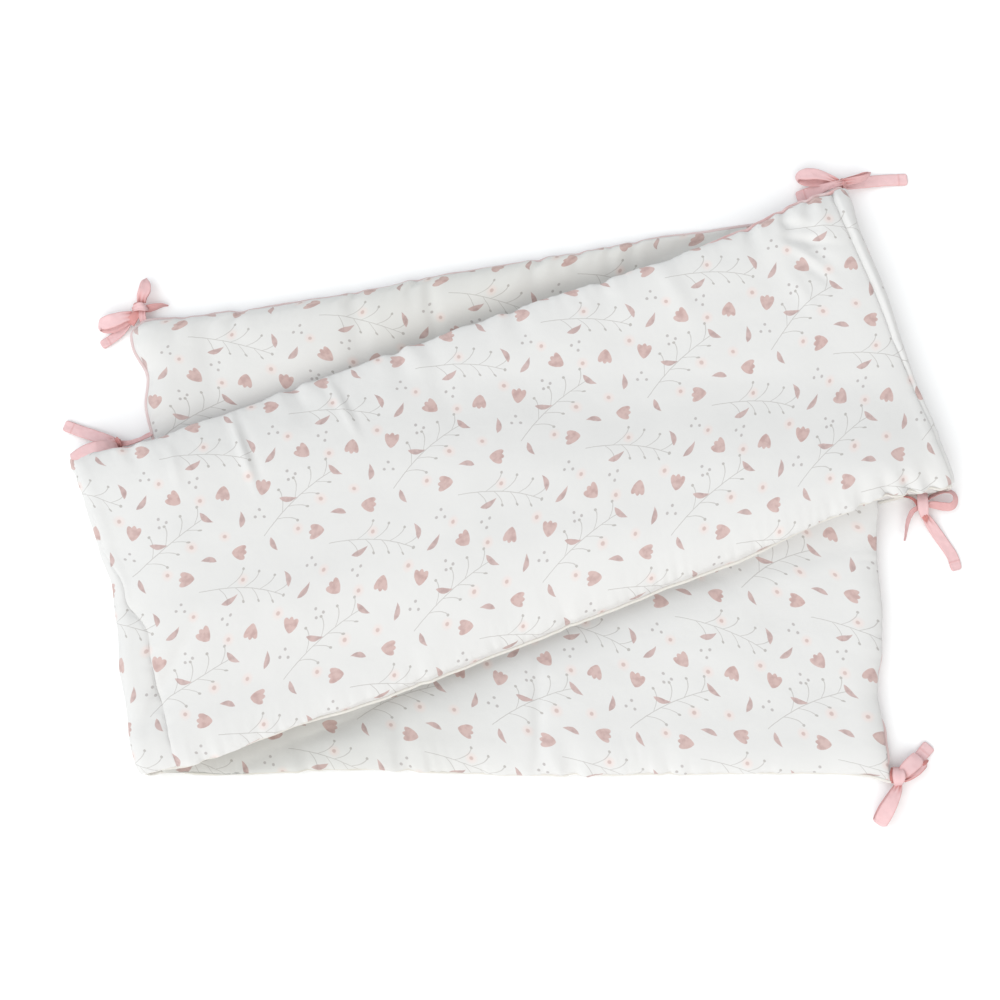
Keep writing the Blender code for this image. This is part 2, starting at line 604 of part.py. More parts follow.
def tape(rows, steps):
    """A closed flat tape along the rows, as a bmesh."""
    mesh = bmesh.new()
    count = (len(rows) - 1) * steps
    course = [between(rows, i / steps) for i in range(count + 1)]
    rings = []
    for i, here in enumerate(course):
        along = course[min(i + 1, count)][:3] - course[max(i - 1, 0)][:3]
        along = along / np.linalg.norm(along)
        wide = here[3:6] - np.dot(here[3:6], along) * along
        wide = wide / np.linalg.norm(wide)
        h = 0.5 * TAPE_THICKNESS * np.cross(along, wide)
        w = 0.5 * TAPE_WIDTH * here[6] * wide
        rings.append([mesh.verts.new(here[:3] + c + HOME_3D) for c in (w + h, h - w, -w - h, w - h)])
    for a, b in zip(rings, rings[1:]):
        for i in range(4):
            j = (i + 1) % 4
            mesh.faces.new((a[i], a[j], b[j], b[i]))
    mesh.faces.new(rings[0][::-1])
    mesh.faces.new(rings[-1])
    bmesh.ops.recalc_face_normals(mesh, faces=mesh.faces)
    return mesh


def joined(target, others):
    """Makes one solid of target and others, and removes the others."""
    for other in others:
        union = target.modifiers.new("join", "BOOLEAN")
        union.operation = "UNION"
        union.solver = "EXACT"
        union.object = other
    depsgraph = bpy.context.evaluated_depsgraph_get()
    solid = bpy.data.meshes.new_from_object(target.evaluated_get(depsgraph), depsgraph=depsgraph)
    target.modifiers.clear()
    old = target.data
    target.data = solid
    bpy.data.meshes.remove(old)
    for other in others:
        bpy.data.objects.remove(other)
    return target


def tie_object(name, collection):
    place, half_sizes, heading = KNOTS[name]
    mesh = bmesh.new()
    bmesh.ops.create_uvsphere(mesh, u_segments=KNOT_SIDES, v_segments=KNOT_RINGS, radius=1.0)
    turn = Matrix.Rotation(math.radians(heading), 4, "Z")
    frame = Matrix.Translation(Vector(place) + Vector(HOME_3D)) @ turn @ Matrix.Diagonal((*half_sizes, 1.0))
    bmesh.ops.transform(mesh, matrix=frame, verts=mesh.verts)
    knot = finish(name, mesh, collection, TAPE_COLOUR, 0.7)
    strands = []
    for owner, kind, opening, points in STRANDS:
        if owner == name:
            rows = strand_rows(kind, opening, points)
            strand = tape(rows, TAPE_STEPS)
            strands.append(finish(name + "_strand", strand, collection, TAPE_COLOUR, 0.7))
    return joined(knot, strands)


# Objects --------------------------------------------------------------------------------------------


def material(name, colour, roughness):
    made = bpy.data.materials.get(name) or bpy.data.materials.new(name)
    made.use_nodes = True
    shader = made.node_tree.nodes["Principled BSDF"]
    shader.inputs["Base Color"].default_value = (*colour, 1.0)
    shader.inputs["Roughness"].default_value = roughness
    return made


def finish(name, mesh, collection, colour, roughness):
    data = bpy.data.meshes.new(name)
    mesh.to_mesh(data)
    mesh.free()
    data.shade_smooth()
    item = bpy.data.objects.new(name, data)
    data.materials.append(material(name, colour, roughness))
    collection.objects.link(item)
    return item


def main():
    for item in list(bpy.data.objects):
        bpy.data.objects.remove(item)
    collection = bpy.data.collections.new("crib_bumper")
    bpy.context.scene.collection.children.link(collection)
    loops = stations()
    strip_object(loops, collection)
    piping_object(loops, collection)
    for name in KNOTS:
        tie_object(name, collection)


main()
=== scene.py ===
"""Looks of the folded crib bumper: padded printed cover, piping, knotted ties, floor, light and camera.

Metres, +Z up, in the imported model's own frame. Plan positions are given in the bumper's layout plane
and moved by HOME, as in the construction script. Tables that say so are in millimetres.
"""

import math

import bpy
import numpy as np
from mathutils import Matrix, Vector


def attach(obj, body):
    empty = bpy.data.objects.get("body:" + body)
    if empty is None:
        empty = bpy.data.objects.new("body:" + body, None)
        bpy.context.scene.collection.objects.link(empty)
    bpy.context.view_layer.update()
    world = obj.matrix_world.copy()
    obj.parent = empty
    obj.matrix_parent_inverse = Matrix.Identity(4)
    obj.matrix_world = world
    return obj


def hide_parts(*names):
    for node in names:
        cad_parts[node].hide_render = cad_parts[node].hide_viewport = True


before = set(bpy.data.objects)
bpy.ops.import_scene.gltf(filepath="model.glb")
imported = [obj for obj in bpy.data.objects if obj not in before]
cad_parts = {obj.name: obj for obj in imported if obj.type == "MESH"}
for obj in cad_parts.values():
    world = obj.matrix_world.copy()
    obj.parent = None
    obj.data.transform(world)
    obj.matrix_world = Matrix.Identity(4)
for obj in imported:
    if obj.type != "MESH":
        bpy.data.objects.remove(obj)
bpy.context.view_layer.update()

# Sizes of the folded strip ---------------------------------------

MM = 0.001
HOME = np.array((-0.0093, -0.0141))

PAD_FREE = 0.024
PAD_PRESSED = 0.017
PAD_DEEP = 0.015
PRESSED_MOST = 0.0175  # leaves some padding even where a layer is pressed most
LAYER_GAP = 0.0008
SEAM_HEIGHT = 0.00935  # where the padding has its full loft
LIP = 0.0008  # half the thickness of the flat seam
LIP_REACH = 0.6  # how far out the seam goes round a fold, as a share of FOLD_REACH
HUMP = 0.0135  # of the top section where both lower ones lie under it
EDGE_ROUND = 0.026
TOP_UPPER_ROUND = 0.040  # the top section's edges roll off more slowly
TOP_LOWER_ROUND = 0.032
END_ROUND = 0.024
FOLD_REACH = 0.018
FOLD_CORE = 0.0012
FOLD_BLUNTNESS = 0.66  # 1 is a plain round fold, less is flatter with tighter turns
FOLD_HALF_HEIGHT = 0.0205
FOLD_ANGLES = np.linspace(0.0, math.pi, 721)

LINES = {
    # name: (lower edge x, y), (upper edge x, y)
    "lower_end": ((0.3375, -0.2433), (0.3350, 0.0390)),
    "left_fold": ((-0.3135, -0.2455), (-0.3830, 0.0385)),
    "left_hinge": ((-0.2667, -0.2303), (-0.3617, 0.0443)),
    "right_hinge": ((0.3839, 0.0102), (0.3015, 0.2812)),
    "right_fold": ((0.4030, 0.0160), (0.3206, 0.2870)),
    "bottom_end": ((-0.2850, -0.1150), (-0.3270, 0.1680)),
}
STRIP_WIDTH = float(np.hypot(*np.subtract(*LINES["lower_end"])))

# Where a layer starts to act on another one and where it acts fully: metres in from its edges
PRESSED_UPPER = (-0.026, 0.024)  # under the top section's upper edge
PRESSED_LOWER = (-0.036, 0.010)
HUMP_BELOW = (-0.060, 0.0)  # the top section's underside
HUMP_ABOVE = (-0.075, 0.020)  # and its face
LOWER_CLIMB = (-0.045, 0.012)  # the lower section, up on the bottom section
LOWER_THINNER = (-0.030, 0.010)
BOTTOM_THINNER = (-0.010, 0.030)

# How far a line or a long edge bows to its right-hand side: rows of (fraction along it, millimetres)
BOWS = {
    "left_fold": (
        (0, 0), (0.3, 5), (0.46, 11), (0.57, 14), (0.69, 8.5), (0.84, 5), (0.93, 1.4), (0.97, -2.4),
        (1, -5),
    ),
    "right_fold": ((0, 2), (0.15, 0.4), (0.35, -1.2), (0.6, -0.4), (0.88, -3.2), (0.96, -0.6), (1, 2.2)),
    "lower_end": ((0, 0), (0.13, -2), (0.25, -6.8), (0.31, -4.5), (0.38, -0.5), (0.7, -1), (1, 0)),
    "bottom_end": ((0, 0), (0.6, -1), (0.72, -4), (0.82, 1), (0.93, -9.5), (0.965, -10), (1, 0)),
    "lower_upper": ((0, 0), (0.93, 0), (1, 2.6)),
    "top_upper": (
        (0, -2.6), (0.025, 2.6), (0.06, 6.8), (0.09, 8.3), (0.2, 6.2), (0.3, 3.7), (0.5, 1.6),
        (0.62, 2.1), (0.74, 4.5), (0.88, 2.2), (0.95, -4), (1, -6),
    ),
    "top_lower": (
        (0, 0), (0.04, 5), (0.08, 6.8), (0.13, 5), (0.35, 5), (0.55, 2.4), (0.68, 0.7), (0.76, 1.2),
        (0.86, -2), (0.92, -4.8), (0.96, -1), (0.98, 1.4), (1, 2.8),
    ),
    "lower_lower": ((0, 0), (0.12, 1.8), (0.31, 0.4), (0.48, -1.4), (0.74, 3.6), (0.93, -1), (1, 0)),
    "bottom_lower": ((0, -2.8), (0.1, 0), (1, 0)),
    "bottom_upper": (
        (0, 6), (0.05, -2), (0.1, -5.5), (0.27, -3.7), (0.35, -4.7), (0.55, -3.6), (0.7, -5.6),
        (0.86, -5), (0.91, -3), (0.95, -1.2), (0.98, 0.8), (1, 0),
    ),
}

# The two sewn hinge lines: rows of (fraction from lower to upper edge, millimetres outward in plan from
# the line where the fold's bend starts). A negative place is on the flat top face.
LEFT_HINGE = (
    (0, -20), (0.05, -18), (0.105, -17), (0.245, -13), (0.39, -11), (0.53, 5.5), (0.7, 13.2), (1, 14.9),
)
RIGHT_HINGE = ((0, 14.4), (0.04, 14.4), (0.33, 13), (0.52, 8), (0.65, 6.5), (0.82, 5), (1, -1))
# Their valleys: rows of (fraction, depth), then the reach to the left and to the right. Depths and reaches
# are in millimetres.
HINGE_DEPTHS = {
    "left": (((0, 1.2), (0.15, 2.6), (0.4, 3), (0.6, 1.5), (1, 1)), 12, 18),
    "right": (((0, 1.5), (0.4, 3), (0.7, 4.5), (1, 5)), 30, 5),
}
STITCH_SHARE = 0.30  # of a valley's depth, close to its stitches
STITCH_REACH = 0.0022

# How far the padding bulges out past its own seam: rows of (fraction along the edge, millimetres)
OVERHANGS = {
    "top_upper": ((0, 0.8), (0.05, 4.5), (0.76, 5.5), (0.88, 1), (1, 0.5)),
    "top_lower": ((0, 5.5), (0.16, 5.5), (0.27, 1.2), (0.74, 1.2), (0.83, 5.5), (1, 4.5)),
    "lower_upper": ((0, 2), (0.95, 2), (1, 0.8)),
    "lower_lower": ((0, 4.5), (0.95, 4.5), (1, 5.5)),
    "bottom_upper": ((0, 0.5), (0.3, 2.6), (0.7, 3), (0.92, 1.8), (1, 0)),
    "bottom_lower": ((0, 4.5), (0.1, 0), (1, 0)),
}
LOWER_END_OVERHANG = 0.0036
BULGE_UNEVEN = 0.35
BULGE_ENDS = 0.030  # length over which a bulge dies out at a corner

# Corners drawn out by their ties: plan place, shift, and how far round it the cloth follows
PULLS = (
    ((0.3420, -0.2410), (0.0044, -0.0074), 0.017),
    ((0.3960, 0.0105), (0.0050, -0.0018), 0.018),
)

# Where a long edge is gathered: rows of (fraction of its section, half width, reach inward, depth), with
# the last three in millimetres
GATHERS = {
    "bottom_upper": (
        (0.693, 4, 22, 1.6), (0.604, 4, 20, 1.8), (0.428, 4.5, 26, 2.2), (0.372, 4, 18, 1.6),
        (0.326, 3, 20, 1.4), (0.288, 4, 22, 1.8), (0.86, 4.5, 24, 1.8), (0.94, 4, 18, 1.4),
    ),
    "top_upper": (
        (0.06, 5, 30, 1.4), (0.27, 5, 30, 1.8), (0.405, 5.5, 34, 1.8), (0.56, 5, 28, 1.4),
        (0.68, 5, 30, 1.4), (0.88, 4, 30, 2), (0.93, 3.5, 34, 2.4), (0.965, 3.5, 30, 2.4),
    ),
    "top_lower": (
        (0.06, 5, 20, 1.2), (0.33, 4.5, 18, 1), (0.52, 4.5, 18, 1.2), (0.9, 4, 13, 1.8),
        (0.935, 3.5, 13, 2.4), (0.965, 3.5, 14, 2.8), (0.99, 3.5, 12, 2.4),
    ),
    "lower_lower": ((0.43, 5, 30, 1.8), (0.3, 4.5, 22, 1.2), (0.66, 5, 26, 1.4), (0.8, 4.5, 24, 1.4)),
}
GATHER_LEAN = 0.15
GATHER_WIDENS = 0.030  # distance in from the edge over which a gather's width doubles
GATHER_RIDGES = 0.45  # height of the ridges beside it, as a share of its depth

# Loose creases of the visible faces, soft ridges (+) and troughs (-) that fade out along their length:
# rows of (x, y, heading in degrees, length, width, height), all but the heading in millimetres
CREASES = {
    "top": (
        (-227, 44, -70, 56, 4, 3.4), (-219, 40, -70, 52, 5, -1.4), (-140, 83, -62, 44, 4.2, 2.8),
        (-133, 80, -62, 40, 5, -1.2), (-286, 30, -76, 40, 4.5, 1.6), (-60, 128, -74, 80, 11, -2.2),
        (150, 205, -66, 70, 9, 2.2), (280, 235, -48, 60, 8, -2.5), (-290, -165, 64, 90, 8, -3),
        (350, 12, 15, 60, 6, -4), (270, 251, -12, 26, 3.5, -2.4), (280, 236, -8, 34, 4, -2.6),
        (272, 224, -30, 30, 4.5, 1.8), (284, 208, -40, 36, 5, -2), (270, 190, -58, 34, 6, 1.4),
        (372, 2, 62, 22, 3, -2), (384, 6, 80, 20, 2.8, 1.8), (360, 4, 48, 24, 3.2, -1.8),
        (344, -2, 30, 26, 3.6, 1.4),
    ),
    "lower": ((34, -190, 90, 110, 6, -2.5), (-88, -215, 90, 70, 8, -2)),
    "bottom": ((-262, 140, -85, 100, 12, -2.5), (-130, 180, -86, 90, 11, -2.5), (-64, 190, -80, 60, 7, -3)),
}

# Depth of the valleys beside the top section: rows of (fraction across the picture, millimetres)
SUNK_BOTTOM = ((0, 0), (0.18, 0.2), (0.28, 1.5), (0.44, 8.5), (0.6, 13), (0.76, 15.5), (1, 16))
SUNK_LOWER = ((0, 16), (0.3, 15), (0.46, 8.5), (0.62, 4.8), (0.78, 1.4), (1, 0.5))
SUNK_BESIDE_BOTTOM = 0.025
SUNK_BESIDE_LOWER = 0.042
SUNK_UNDER = 0.012
PICTURE_WIDTH = 0.8

# Painted shade: the cloth's colour is darkened a little where the top section lies close over it and shade
# falls: (metres from the free end, share)
SHADE_PAINTED_STRETCHES = {
    "cover_lower": ((0, 0), (0.3, 0), (0.42, 0.45), (0.52, 0.9), (0.63, 1), (0.69, 0), (1, 0)),
    "cover_bottom": ((0, 0.1), (0.12, 0.15), (0.25, 0.65), (0.43, 0.65), (0.57, 0.45), (0.66, 0), (1, 0)),
}

# Mesh steps
MESH_PITCH = 0.0023
EDGE_RINGS = 13  # steps round the shoulder of an edge
HINGE_RINGS = 6  # fine steps beside a hinge line
HINGE_STEP = 0.0009
BEAD_RADIUS = 0.0014
BEAD_OUT = 0.9  # how far out its middle lies, as a share of its radius
BEAD_SIDES = 7
BEAD_TURN = 250.0  # degrees of a full turn that the bead goes round
SEAM_GROOVE = 0.0008  # the line of stitches just inside the seam
SEAM_GROOVE_PLACE = 0.0019
SEAM_GROOVE_REACH = 0.0011
SEAM_CLEAR = 0.0025  # beside a seam, puckers and bulges grow over this length
SEAM_FLAT = 0.004  # and lumps over this one
SEAM_WAVE_REACH = 0.008
GATHER_PULL = 0.8  # how far a gather draws the seam in, as a share of its depth
GATHER_PULL_REACH = 0.010
WAVE_RISE = 0.8  # of the seam's wave upward, as a share of that outward
SHARP_EDGE = 62.0  # degrees

BAKE_MARGIN = 0.002
BAKE_LENGTH = 0.976
BAKE_ENDS = (0.982, 0.991)  # places of the two end faces in the baked image
BAKE_END = (0.007, 0.01, 0.90)  # their width, their first place across and their length
BAKE_BEAD = (0.95, 0.003, 0.02)  # the bead's end: its place and half sizes
BAKE_GAP = 0.006
FREE_CLOTH = (0.0, -1.0)  # cloth place of the faces without print

PIPING_RADIUS = 0.0018
PIPING_SIDES = 14
PIPING_TUCK = 0.0010  # from the seam's edge to the middle of the piping
PIPING_STEP = 0.0018
PIPING_CORNER = 3  # rows left out at each free corner, where the piping turns
# At the lower section's free end the padding hides most of it: (fraction from the corner, millimetres)
LOWER_END_TUCKS = ((0, -3), (0.05, -2.8), (0.08, 2.7), (0.145, 2.7), (0.2, -0.2), (1, -0.2))

UP = np.array((0.0, 0.0, 1.0))
MIDWAY = np.array(0.5)  # between the strip's two long edges


# Small helpers ---------------------------------------------------


def smooth(x, low, high):
    """Goes softly from 0 at low to 1 at high."""
    u = np.clip((x - low) / (high - low), 0.0, 1.0)
    return u * u * (3.0 - 2.0 * u)


def shoulder(distance, radius):
    """Height of a rounded shoulder, from 0 at the seam to 1 one radius in."""
    u = np.clip(distance / radius, 0.0, 1.0)
    return np.sqrt(1.0 - (1.0 - u) ** 2)


def read(rows, fraction):
    """Reads a table of (fraction, value) rows, with soft turns between them."""
    table = np.array(rows, float)
    i = np.clip(np.searchsorted(table[:, 0], fraction, side="left") - 1, 0, len(table) - 2)
    low, high = table[i], table[i + 1]
    return low[..., 1] + (high[..., 1] - low[..., 1]) * smooth(fraction, low[..., 0], high[..., 0])


def bow(name, fraction):
    return MM * read(BOWS[name], fraction) if name in BOWS else np.zeros_like(fraction)


def overhang(edge, fraction):
    return MM * read(OVERHANGS[edge], fraction)


def noise(x, y, seed):
    """Smooth noise from about -1 to 1 over the plane."""
    size = 64
    turn = np.random.RandomState(seed).uniform(0.0, 2.0 * math.pi, (size, size))
    x, y = np.broadcast_arrays(np.asarray(x, float), np.asarray(y, float))
    xi, yi = np.floor(x).astype(int), np.floor(y).astype(int)
    fx, fy = x - xi, y - yi

    def pull(i, j):
        angle = turn[(xi + i) % size, (yi + j) % size]
        return np.cos(angle) * (fx - i) + np.sin(angle) * (fy - j)

    ux = fx * fx * fx * (fx * (fx * 6.0 - 15.0) + 10.0)
    uy = fy * fy * fy * (fy * (fy * 6.0 - 15.0) + 10.0)
    low = pull(0, 0) + (pull(1, 0) - pull(0, 0)) * ux
    high = pull(0, 1) + (pull(1, 1) - pull(0, 1)) * ux
    return 1.6 * (low + (high - low) * uy)


def right_of(course):
    """Unit vector to the right-hand side of a plan direction."""
    return np.array((course[1], -course[0])) / np.hypot(*course)


def inside(point, start, end):
    """Distance of plan points to the left of the line from start to end."""
    return (np.array(start) - point) @ right_of(np.subtract(end, start))


def unit(v):
    return v / np.linalg.norm(v, axis=-1, keepdims=True)


def level_unit(v):
    """Plan directions as unit vectors in space."""
    return unit(np.concatenate((v, np.zeros_like(v[..., :1])), axis=-1))


def travelled(points):
    """Length along a row of points up to each of them."""
    steps = np.linalg.norm(np.diff(points, axis=0), axis=-1)
    return np.concatenate((np.zeros_like(steps[:1]), np.cumsum(steps, axis=0)))


def flat_grid(a, b):
    """A grid of the pairs of two rows of numbers."""
    return np.stack(np.meshgrid(a, b, indexing="ij"), axis=-1)


# Plan of the strip -----------------------------------------------


def blunt(value):
    """Flattens a sine or cosine, which makes a round fold squarer."""
    return np.sign(value) * np.abs(value) ** FOLD_BLUNTNESS


# Length over a fold's outer face up to each of FOLD_ANGLES
FOLD_COURSE = (FOLD_REACH * blunt(np.sin(FOLD_ANGLES)), FOLD_HALF_HEIGHT * blunt(np.cos(FOLD_ANGLES)))
FOLD_LENGTHS = travelled(np.stack(FOLD_COURSE, axis=-1))
FOLD_ARC = float(FOLD_LENGTHS[-1])


def hinge_place(rows, t):
    """Length over the face from the bend's start to a hinge line."""
    out = MM * read(rows, t)
    sine = np.clip(out / FOLD_REACH, 0.0, 1.0) ** (1.0 / FOLD_BLUNTNESS)
    return np.where(out < 0.0, out, np.interp(np.arcsin(sine), FOLD_ANGLES, FOLD_LENGTHS))


def curved(name, t):
    """Plan points at fractions t of a line across the strip, with its bow."""
    start, end = (np.array(p) for p in LINES[name])
    along = end - start
    return start + along * t[..., None] + right_of(along) * bow(name, t)[..., None]


def fold_outward(name):
    """Plan direction from the start of a fold's bend to its outermost line."""
    right = right_of(np.subtract(*LINES[name][::-1]))
    return -right if name == "left_fold" else right


def run_end(name, t):
    """Where a section's flat run stops: at its free end, or where a fold's bend starts."""
    if name.endswith("_fold"):
        return curved(name, t) - fold_outward(name) * FOLD_REACH
    return curved(name, t)


RUNS = {
    # section: the lines that it starts from and ends at
    "top": ("left_fold", "right_fold"),
    "lower": ("lower_end", "left_fold"),
    "bottom": ("right_fold", "bottom_end"),
}


def run_ends(section, t):
    return [run_end(name, t) for name in RUNS[section]]


def run_length(section, t):
    first, last = run_ends(section, t)
    return np.linalg.norm(last - first, axis=-1)


def plan(section, q, t):
    """Plan points of a section: q runs along the strip, t from its lower to its upper long edge."""
    first, last = run_ends(section, t)
    point = first + (last - first) * q[..., None]
    outward = 1.0 if section == "top" else -1.0  # of the lower edge's right-hand side
    for side, end, weight, turn in (("_lower", 0.0, 1.0 - t, outward), ("_upper", 1.0, t, -outward)):
        start, stop = run_ends(section, np.array(end))
        shift = bow(section + side, q) * weight - overhang(section + side, q) * turn * weight**3
        point = point + right_of(stop - start) * shift[..., None]
    return point


# Places along the strip, where 0 is the start of the left fold's bend on the top section


def free_lower(t):
    return -FOLD_ARC - run_length("lower", t)


def left_hinge(t):
    return -hinge_place(LEFT_HINGE, t)


def right_hinge(t):
    return run_length("top", t) + hinge_place(RIGHT_HINGE, t)


def free_bottom(t):
    return run_length("top", t) + FOLD_ARC + run_length("bottom", t)


# Heights of the layers -------------------------------------------


def in_from_upper(point):
    """Distance of plan points inside the top section's upper long edge."""
    return -inside(point, LINES["left_fold"][1], LINES["right_fold"][1])


def in_from_lower(point):
    """Distance of plan points inside the top section's lower long edge."""
    return inside(point, LINES["left_hinge"][0], LINES["right_hinge"][0])


def under_top(point):
    upper = smooth(in_from_upper(point), *PRESSED_UPPER)
    return upper * smooth(in_from_lower(point), *PRESSED_LOWER)


def over(section, point, low, high):
    """From 0 to 1 over a lower layer, inward from its long edge and its free end."""
    if section == "bottom":
        edge = inside(point, LINES["bottom_end"][0], LINES["right_fold"][0])
        end = -inside(point, *LINES["bottom_end"])
    else:
        edge = -inside(point, LINES["left_fold"][1], LINES["lower_end"][1])
        end = inside(point, *LINES["lower_end"])
    return smooth(edge, low, high) * smooth(end, low, high)


def over_both(point, ramp):
    return over("bottom", point, *ramp) * over("lower", point, *ramp)


def creases(section, point):
    total = np.zeros(point.shape[:-1])
    for x, y, heading, length, width, height in CREASES[section]:
        turn = math.radians(heading)
        offset = point - MM * np.array((x, y))
        along = np.clip(offset @ np.array((math.cos(turn), math.sin(turn))) / (MM * length), -1.0, 1.0)
        aside = offset @ np.array((-math.sin(turn), math.cos(turn))) / (MM * width)
        total += MM * height * (1.0 - along * along) ** 2 * np.exp(-aside * aside)
    return total


def sunk(section, point):
    """How far a lower layer sinks beside the top section's edge."""
    if section == "bottom":
        into, rows, beside = in_from_upper(point), SUNK_BOTTOM, SUNK_BESIDE_BOTTOM
    else:
        into, rows, beside = in_from_lower(point), SUNK_LOWER, SUNK_BESIDE_LOWER
    depth = MM * read(rows, np.clip(0.5 + point[..., 0] / PICTURE_WIDTH, 0.0, 1.0))
    return depth * np.exp(-((into / np.where(into > 0.0, SUNK_UNDER, beside)) ** 2))


def drawn_out(point):
    """Plan points, shifted near the corners that their ties pull on."""
    moved = point
    for place, shift, reach in PULLS:
        distance = np.linalg.norm(point - np.array(place), axis=-1)
        moved = moved + np.exp(-((distance / reach) ** 2))[..., None] * np.array(shift)
    return moved


def heights(section, point):
    """Underside and upper side of a section's full loft at plan points."""
    if section == "top":
        floor = PAD_PRESSED + LAYER_GAP
        crest = HUMP * over_both(point, HUMP_ABOVE) + creases(section, point)
        return floor + HUMP * over_both(point, HUMP_BELOW), floor + PAD_FREE + crest
    pressed = (PAD_FREE - PAD_PRESSED) * under_top(point)
    loft = PAD_FREE - np.minimum(pressed + sunk(section, point), PRESSED_MOST)
    if section == "bottom":
        loft = loft - (PAD_PRESSED - PAD_DEEP) * over("lower", point, *BOTTOM_THINNER)
        return np.zeros_like(loft), loft + creases(section, point)
    loft = loft - (PAD_PRESSED - PAD_DEEP) * over("bottom", point, *LOWER_THINNER)
    floor = (PAD_DEEP + LAYER_GAP) * over("bottom", point, *LOWER_CLIMB)
    return floor, floor + loft + creases(section, point)


# The cover's two faces -------------------------------------------


def on_sections(s, t):
    """Masks of the lower section, the bottom section and the top one with its folds, and all run lengths."""
    long_top, long_lower, long_bottom = (run_length(name, t) for name in RUNS)
    on_lower, on_bottom = s < -FOLD_ARC, s > long_top + FOLD_ARC
    return on_lower, on_bottom, ~(on_lower | on_bottom), long_top, long_lower, long_bottom


def seam_height(low, high):
    return low + SEAM_HEIGHT * (high - low) / PAD_FREE


def bulge_profile(away, rounding):
    """None of the bulge at the seam, all of it just inside, and none again one rounding in."""
    return smooth(away, 0.0, SEAM_CLEAR) * (1.0 - smooth(away, SEAM_FLAT, rounding))


def strip(s, t):
    """Both faces of the strip, where s runs along it and t from its lower to its upper long edge.

    Returns the outer face, the inner face, the seam's direction out of the strip, and each point's
    distance from the nearest long edge and from the free end.
    """
    on_lower, on_bottom, on_top, long_top, long_lower, long_bottom = on_sections(s, t)
    left_side = s < 0.0
    q_lower = np.clip(1.0 + (s + FOLD_ARC) / long_lower, 0.0, 1.0)
    q_top = np.clip(s / long_top, 0.0, 1.0)
    q_bottom = np.clip((s - long_top - FOLD_ARC) / long_bottom, 0.0, 1.0)
    angle = np.interp(np.where(left_side, -s, s - long_top), FOLD_LENGTHS, FOLD_ANGLES)
    c, k = blunt(np.cos(angle)), blunt(np.sin(angle))

    point = plan("top", q_top, t)
    point = np.where(on_lower[..., None], plan("lower", q_lower, t), point)
    point = np.where(on_bottom[..., None], plan("bottom", q_bottom, t), point)
    outward = np.where(left_side[..., None], fold_outward("left_fold"), fold_outward("right_fold"))

    def round_fold(top, below):
        """A height that goes from the top section round the fold to the layer below."""
        return 0.5 * (top + below) + 0.5 * (top - below) * c

    top_low, top_high = heights("top", point)
    layers = zip(heights("lower", point), heights("bottom", point))
    below_low, below_high = (np.where(left_side, lower, bottom) for lower, bottom in layers)
    face, back = round_fold(top_high, below_low), round_fold(top_low, below_high)
    seam = round_fold(seam_height(top_low, top_high), seam_height(below_low, below_high))

    from_edge = np.minimum(t, 1.0 - t) * STRIP_WIDTH
    from_end = np.where(on_bottom, (1.0 - q_bottom) * long_bottom, 1.0)
    from_end = np.where(on_lower, q_lower * long_lower, from_end)
    facing = np.where(on_top, np.maximum(np.cos(angle), 0.0), 0.0)
    rounding = EDGE_ROUND + (np.where(t > 0.5, TOP_UPPER_ROUND, TOP_LOWER_ROUND) - EDGE_ROUND) * facing
    weight = shoulder(from_edge, rounding) * shoulder(from_end, END_ROUND)

    # the padding's bulge over its own seam
    edge_out = unit(np.gradient(point, axis=1) * np.where(t > 0.5, 1.0, -1.0)[..., None])
    bulge = np.zeros_like(t)
    for section, here, q, share in (
        ("lower", on_lower, q_lower, 1.0),
        ("bottom", on_bottom, q_bottom, 1.0),
        ("top", on_top, q_top, np.maximum(c, 0.0)),
    ):
        edges = np.where(t > 0.5, overhang(section + "_upper", q), overhang(section + "_lower", q))
        bulge = bulge + np.where(here, edges * share, 0.0)
    bulge = bulge * (1.0 + BULGE_UNEVEN * noise(s / 0.028, t * 3.0, 41))
    bulge = bulge * bulge_profile(from_edge, EDGE_ROUND) * smooth(from_end, 0.0, BULGE_ENDS)
    end_out = unit(curved("lower_end", t) - run_end("left_fold", t))
    end_bulge = LOWER_END_OVERHANG * (1.0 + BULGE_UNEVEN * noise(t * 9.0, 0.5, 43))
    end_bulge = end_bulge * bulge_profile(from_end, END_ROUND) * smooth(from_edge, 0.0, BULGE_ENDS)
    end_bulge = np.where(on_lower, end_bulge, 0.0)

    faces = []
    for height, side, reach, bulged in ((face, 1.0, FOLD_REACH, on_top), (back, -1.0, FOLD_CORE, ~on_top)):
        lip = seam + side * LIP * c
        lip_out = LIP_REACH * FOLD_REACH * k + side * LIP * k
        z = lip + (height - lip) * weight
        out = lip_out + (reach * k - lip_out) * weight
        flat = point + outward * out[..., None] + edge_out * (bulge * bulged)[..., None]
        flat = flat + end_out * (end_bulge * bulged)[..., None]
        faces.append(np.concatenate((drawn_out(flat) + HOME, z[..., None]), axis=-1))
    return (*faces, edge_out, from_edge, from_end)


def grid_normals(points):
    """Normals of a grid of points (along, across), each of length 1."""
    return unit(np.cross(np.gradient(points, axis=0), np.gradient(points, axis=1)))


def shoulder_steps(radius):
    """Distances from an edge that follow its rounding in even turns."""
    return [radius * (1.0 - math.cos(0.5 * math.pi * i / EDGE_RINGS)) for i in range(EDGE_RINGS + 1)]


def spread(length, first, last):
    """Fractions of a length: given steps from its two ends, and even ones between them."""
    room = length - first[-1] - last[-1]
    count = int(room / MESH_PITCH)
    middle = [first[-1] + room * (i + 1) / (count + 1) for i in range(count)]
    return np.array(first + middle + [length - d for d in reversed(last)]) / length


